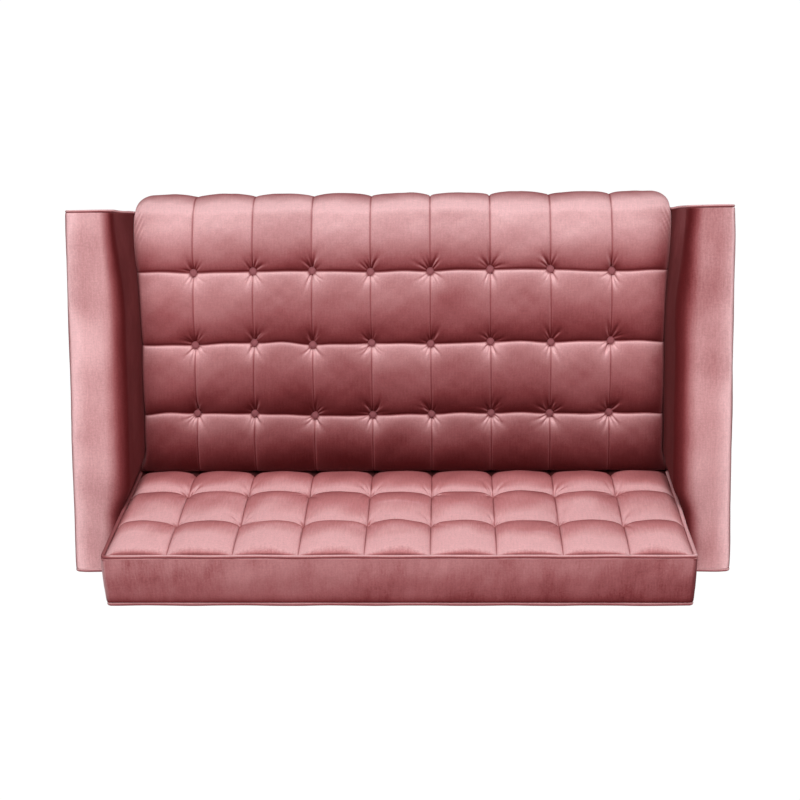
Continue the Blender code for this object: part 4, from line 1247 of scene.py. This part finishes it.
def floor_finish(base):
    """Matt floor that shows white to the camera and keeps a soft shadow."""
    made = Finish("studio_floor", base_color=base, roughness=0.9, specular_ior_level=0.0)
    white = made.node("Emission", _0=(1.0, 1.0, 1.0), _1=1.03)
    seen = seen_by_camera(made.tree) * 0.98
    shown = made.node("MixShader", _0=seen, _1=Value(made.tree, made.shader.outputs[0]), _2=white)
    join(made.tree, made.output.inputs["Surface"], shown)
    return made.material


def light_world(scene):
    """Even dim light all round, shown as white behind the loveseat."""
    world = bpy.data.worlds.new("studio")
    scene.world = world
    world.use_nodes = True
    tree = world.node_tree
    dim, white = tree.nodes["Background"], tree.nodes.new("ShaderNodeBackground")
    for node, strength in ((dim, 0.02), (white, 1.0)):
        node.inputs["Color"].default_value = (1.0, 1.0, 1.0, 1.0)
        node.inputs["Strength"].default_value = strength
    mix = tree.nodes.new("ShaderNodeMixShader")
    join(tree, mix.inputs[0], seen_by_camera(tree))
    tree.links.new(dim.outputs[0], mix.inputs[1])
    tree.links.new(white.outputs[0], mix.inputs[2])
    tree.links.new(mix.outputs[0], tree.nodes["World Output"].inputs["Surface"])


def add_lamp(name, place, size, power):
    """A rectangular softbox that points at the loveseat."""
    lamp = bpy.data.lights.new(name, "AREA")
    lamp.shape = "RECTANGLE"
    lamp.size, lamp.size_y = size
    lamp.energy = power
    made = add_object(name, lamp)
    made.location = place
    made.rotation_euler = (Vector(LAMP_TARGET) - Vector(place)).to_track_quat("-Z", "Y").to_euler()


def add_camera(scene):
    """Camera that looks straight down but for a small tilt, front edge upwards."""
    tilt, roll, pan = math.radians(6.21), math.radians(0.24), math.radians(1.87)
    camera = bpy.data.cameras.new("overhead")
    camera.lens = 67.5
    made = add_object("overhead", camera)
    s, c = math.sin(roll), math.cos(roll)
    right = (-c, s * math.cos(tilt), s * math.sin(tilt))
    up = (-s, -c * math.cos(tilt), -c * math.sin(tilt))
    back = (0.0, -math.sin(tilt), math.cos(tilt))
    turned = Matrix((right, up, back)).transposed().to_4x4() @ Matrix.Rotation(pan, 4, "Y")
    made.matrix_world = Matrix.Translation(CAMERA_PLACE) @ turned
    scene.camera = made


# Operators


class LoveseatOperator:
    """What the operators share."""

    bl_options = {"REGISTER", "UNDO"}

    def finish(self, name, build, *values, **words):
        """A material made once."""
        return bpy.data.materials.get(name) or build(name, *values, **words)

    def velvet(self, name):
        """A velvet made once, with the values of its row."""
        axis, lean, words = VELVETS[name]
        colours = bpy.context.scene.loveseat_colours
        return self.finish(name, velvet, colours, axis, lean, **words)


class OBJECT_OT_loveseat_seat(LoveseatOperator, bpy.types.Operator):
    """Make the tufted seat cover"""

    bl_idname = "object.loveseat_seat"
    bl_label = "Seat cover"

    def execute(self, context):
        make_seat(Layout(context.scene.loveseat_sizes), self.velvet("seat_velvet"))
        return {"FINISHED"}


class OBJECT_OT_loveseat_buttons(LoveseatOperator, bpy.types.Operator):
    """Make the covered buttons of the seat"""

    bl_idname = "object.loveseat_buttons"
    bl_label = "Seat buttons"

    def execute(self, context):
        make_buttons(Layout(context.scene.loveseat_sizes), self.velvet("button_velvet"))
        return {"FINISHED"}


class OBJECT_OT_loveseat_back(LoveseatOperator, bpy.types.Operator):
    """Make the tufted back, its piping and the outside back"""

    bl_idname = "object.loveseat_back"
    bl_label = "Back"

    def execute(self, context):
        layout = Layout(context.scene.loveseat_sizes)
        make_back(layout, self.velvet("back_velvet"), self.velvet("band_velvet"))
        make_back_welts(layout, self.velvet("piping_velvet"))
        make_outside_back(layout, self.velvet("rear_velvet"))
        return {"FINISHED"}


class OBJECT_OT_loveseat_arms(LoveseatOperator, bpy.types.Operator):
    """Make both arms with their end panels and piping"""

    bl_idname = "object.loveseat_arms"
    bl_label = "Arms"

    def execute(self, context):
        layout = Layout(context.scene.loveseat_sizes)
        piping = self.velvet("piping_velvet")
        for side, name in ((-1, "right"), (1, "left")):
            make_arm_cover(layout, side, name, self.velvet("arm_velvet"))
            make_arm_end(layout, side, name, "front", self.velvet("seat_velvet"), piping)
            make_arm_end(layout, side, name, "rear", self.velvet("rear_velvet"), piping)
        return {"FINISHED"}


class OBJECT_OT_loveseat_base(LoveseatOperator, bpy.types.Operator):
    """Make the legs and the cloths, and finish the hidden frame"""

    bl_idname = "object.loveseat_base"
    bl_label = "Legs and frame"

    def execute(self, context):
        colours = context.scene.loveseat_colours
        dark, light = colours.walnut_dark[:], colours.walnut_light[:]
        walnut = self.finish("walnut", wood, dark, light, (60.0, 60.0, 5.0), 0.28, 0.35)
        dark, light = tone(colours.timber, 0.6), tone(colours.timber, 1.15)
        timber = self.finish("planed_hardwood", wood, dark, light, (14.0, 14.0, 40.0), 0.5, 0.0)
        boards = self.finish("plywood_board", plywood, colours.ply[:])
        steel = self.finish("spring_wire", wire, colours.steel[:])
        dust = self.finish("dust_cover_cloth", felt, colours.dust_cloth[:], 900.0)
        deck = self.finish("deck_felt", felt, colours.deck_cloth[:], 500.0)
        nodes = sorted(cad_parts.items())
        for node, _ in nodes:
            if node.startswith("leg_"):
                make_leg(node, walnut)
        make_cloth("dust_cover_sheet", "dust_cover", dust, 0.003, 51)
        make_cloth("deck_cloth_sheet", "deck_cloth", deck, 0.0001, 52)
        finishes = {"arm_board": boards, "seat_front": boards, "seat_rear": boards, "spring": steel}
        for node, made in nodes:
            if not made.hide_render:
                starts = [start for start in finishes if node.startswith(start)]
                made.data.materials.clear()
                made.data.materials.append(finishes[starts[0]] if starts else timber)
        return {"FINISHED"}


class OBJECT_OT_loveseat_stage(LoveseatOperator, bpy.types.Operator):
    """Make the floor, the lights, the world and the camera"""

    bl_idname = "object.loveseat_stage"
    bl_label = "Studio"

    def execute(self, context):
        scene = context.scene
        bm = bmesh.new()
        bmesh.ops.create_grid(bm, x_segments=1, y_segments=1, size=30.0)
        floor = add_mesh("studio_floor", bm, floor_finish(scene.loveseat_colours.floor[:]))
        light_world(scene)
        for name, values in LAMPS.items():
            add_lamp(name, *values)
        add_camera(scene)
        scene.view_settings.view_transform = "Standard"
        return {"FINISHED"}


class VIEW3D_PT_loveseat(bpy.types.Panel):
    """Sidebar panel with the loveseat's pieces, sizes and colours"""

    bl_label = "Loveseat"
    bl_space_type = "VIEW_3D"
    bl_region_type = "UI"
    bl_category = "Loveseat"

    def draw(self, context):
        for operator in OPERATORS:
            self.layout.operator(operator.bl_idname)
        for group in (context.scene.loveseat_sizes, context.scene.loveseat_colours):
            box = self.layout.box()
            for name in group.__annotations__:
                box.prop(group, name)


OPERATORS = (
    OBJECT_OT_loveseat_seat,
    OBJECT_OT_loveseat_buttons,
    OBJECT_OT_loveseat_back,
    OBJECT_OT_loveseat_arms,
    OBJECT_OT_loveseat_base,
    OBJECT_OT_loveseat_stage,
)
CLASSES = (LoveseatSizes, LoveseatColours, *OPERATORS, VIEW3D_PT_loveseat)


def register():
    """Add the classes and the scene's settings."""
    for made in CLASSES:
        bpy.utils.register_class(made)
    bpy.types.Scene.loveseat_sizes = bpy.props.PointerProperty(type=LoveseatSizes)
    bpy.types.Scene.loveseat_colours = bpy.props.PointerProperty(type=LoveseatColours)


def unregister():
    """Take the settings and classes away again."""
    del bpy.types.Scene.loveseat_sizes
    del bpy.types.Scene.loveseat_colours
    for made in reversed(CLASSES):
        bpy.utils.unregister_class(made)


def main():
    """Build everything in order."""
    register()
    for operator in OPERATORS:
        module, name = operator.bl_idname.split(".")
        getattr(getattr(bpy.ops, module), name)()


if __name__ == "__main__":
    main()
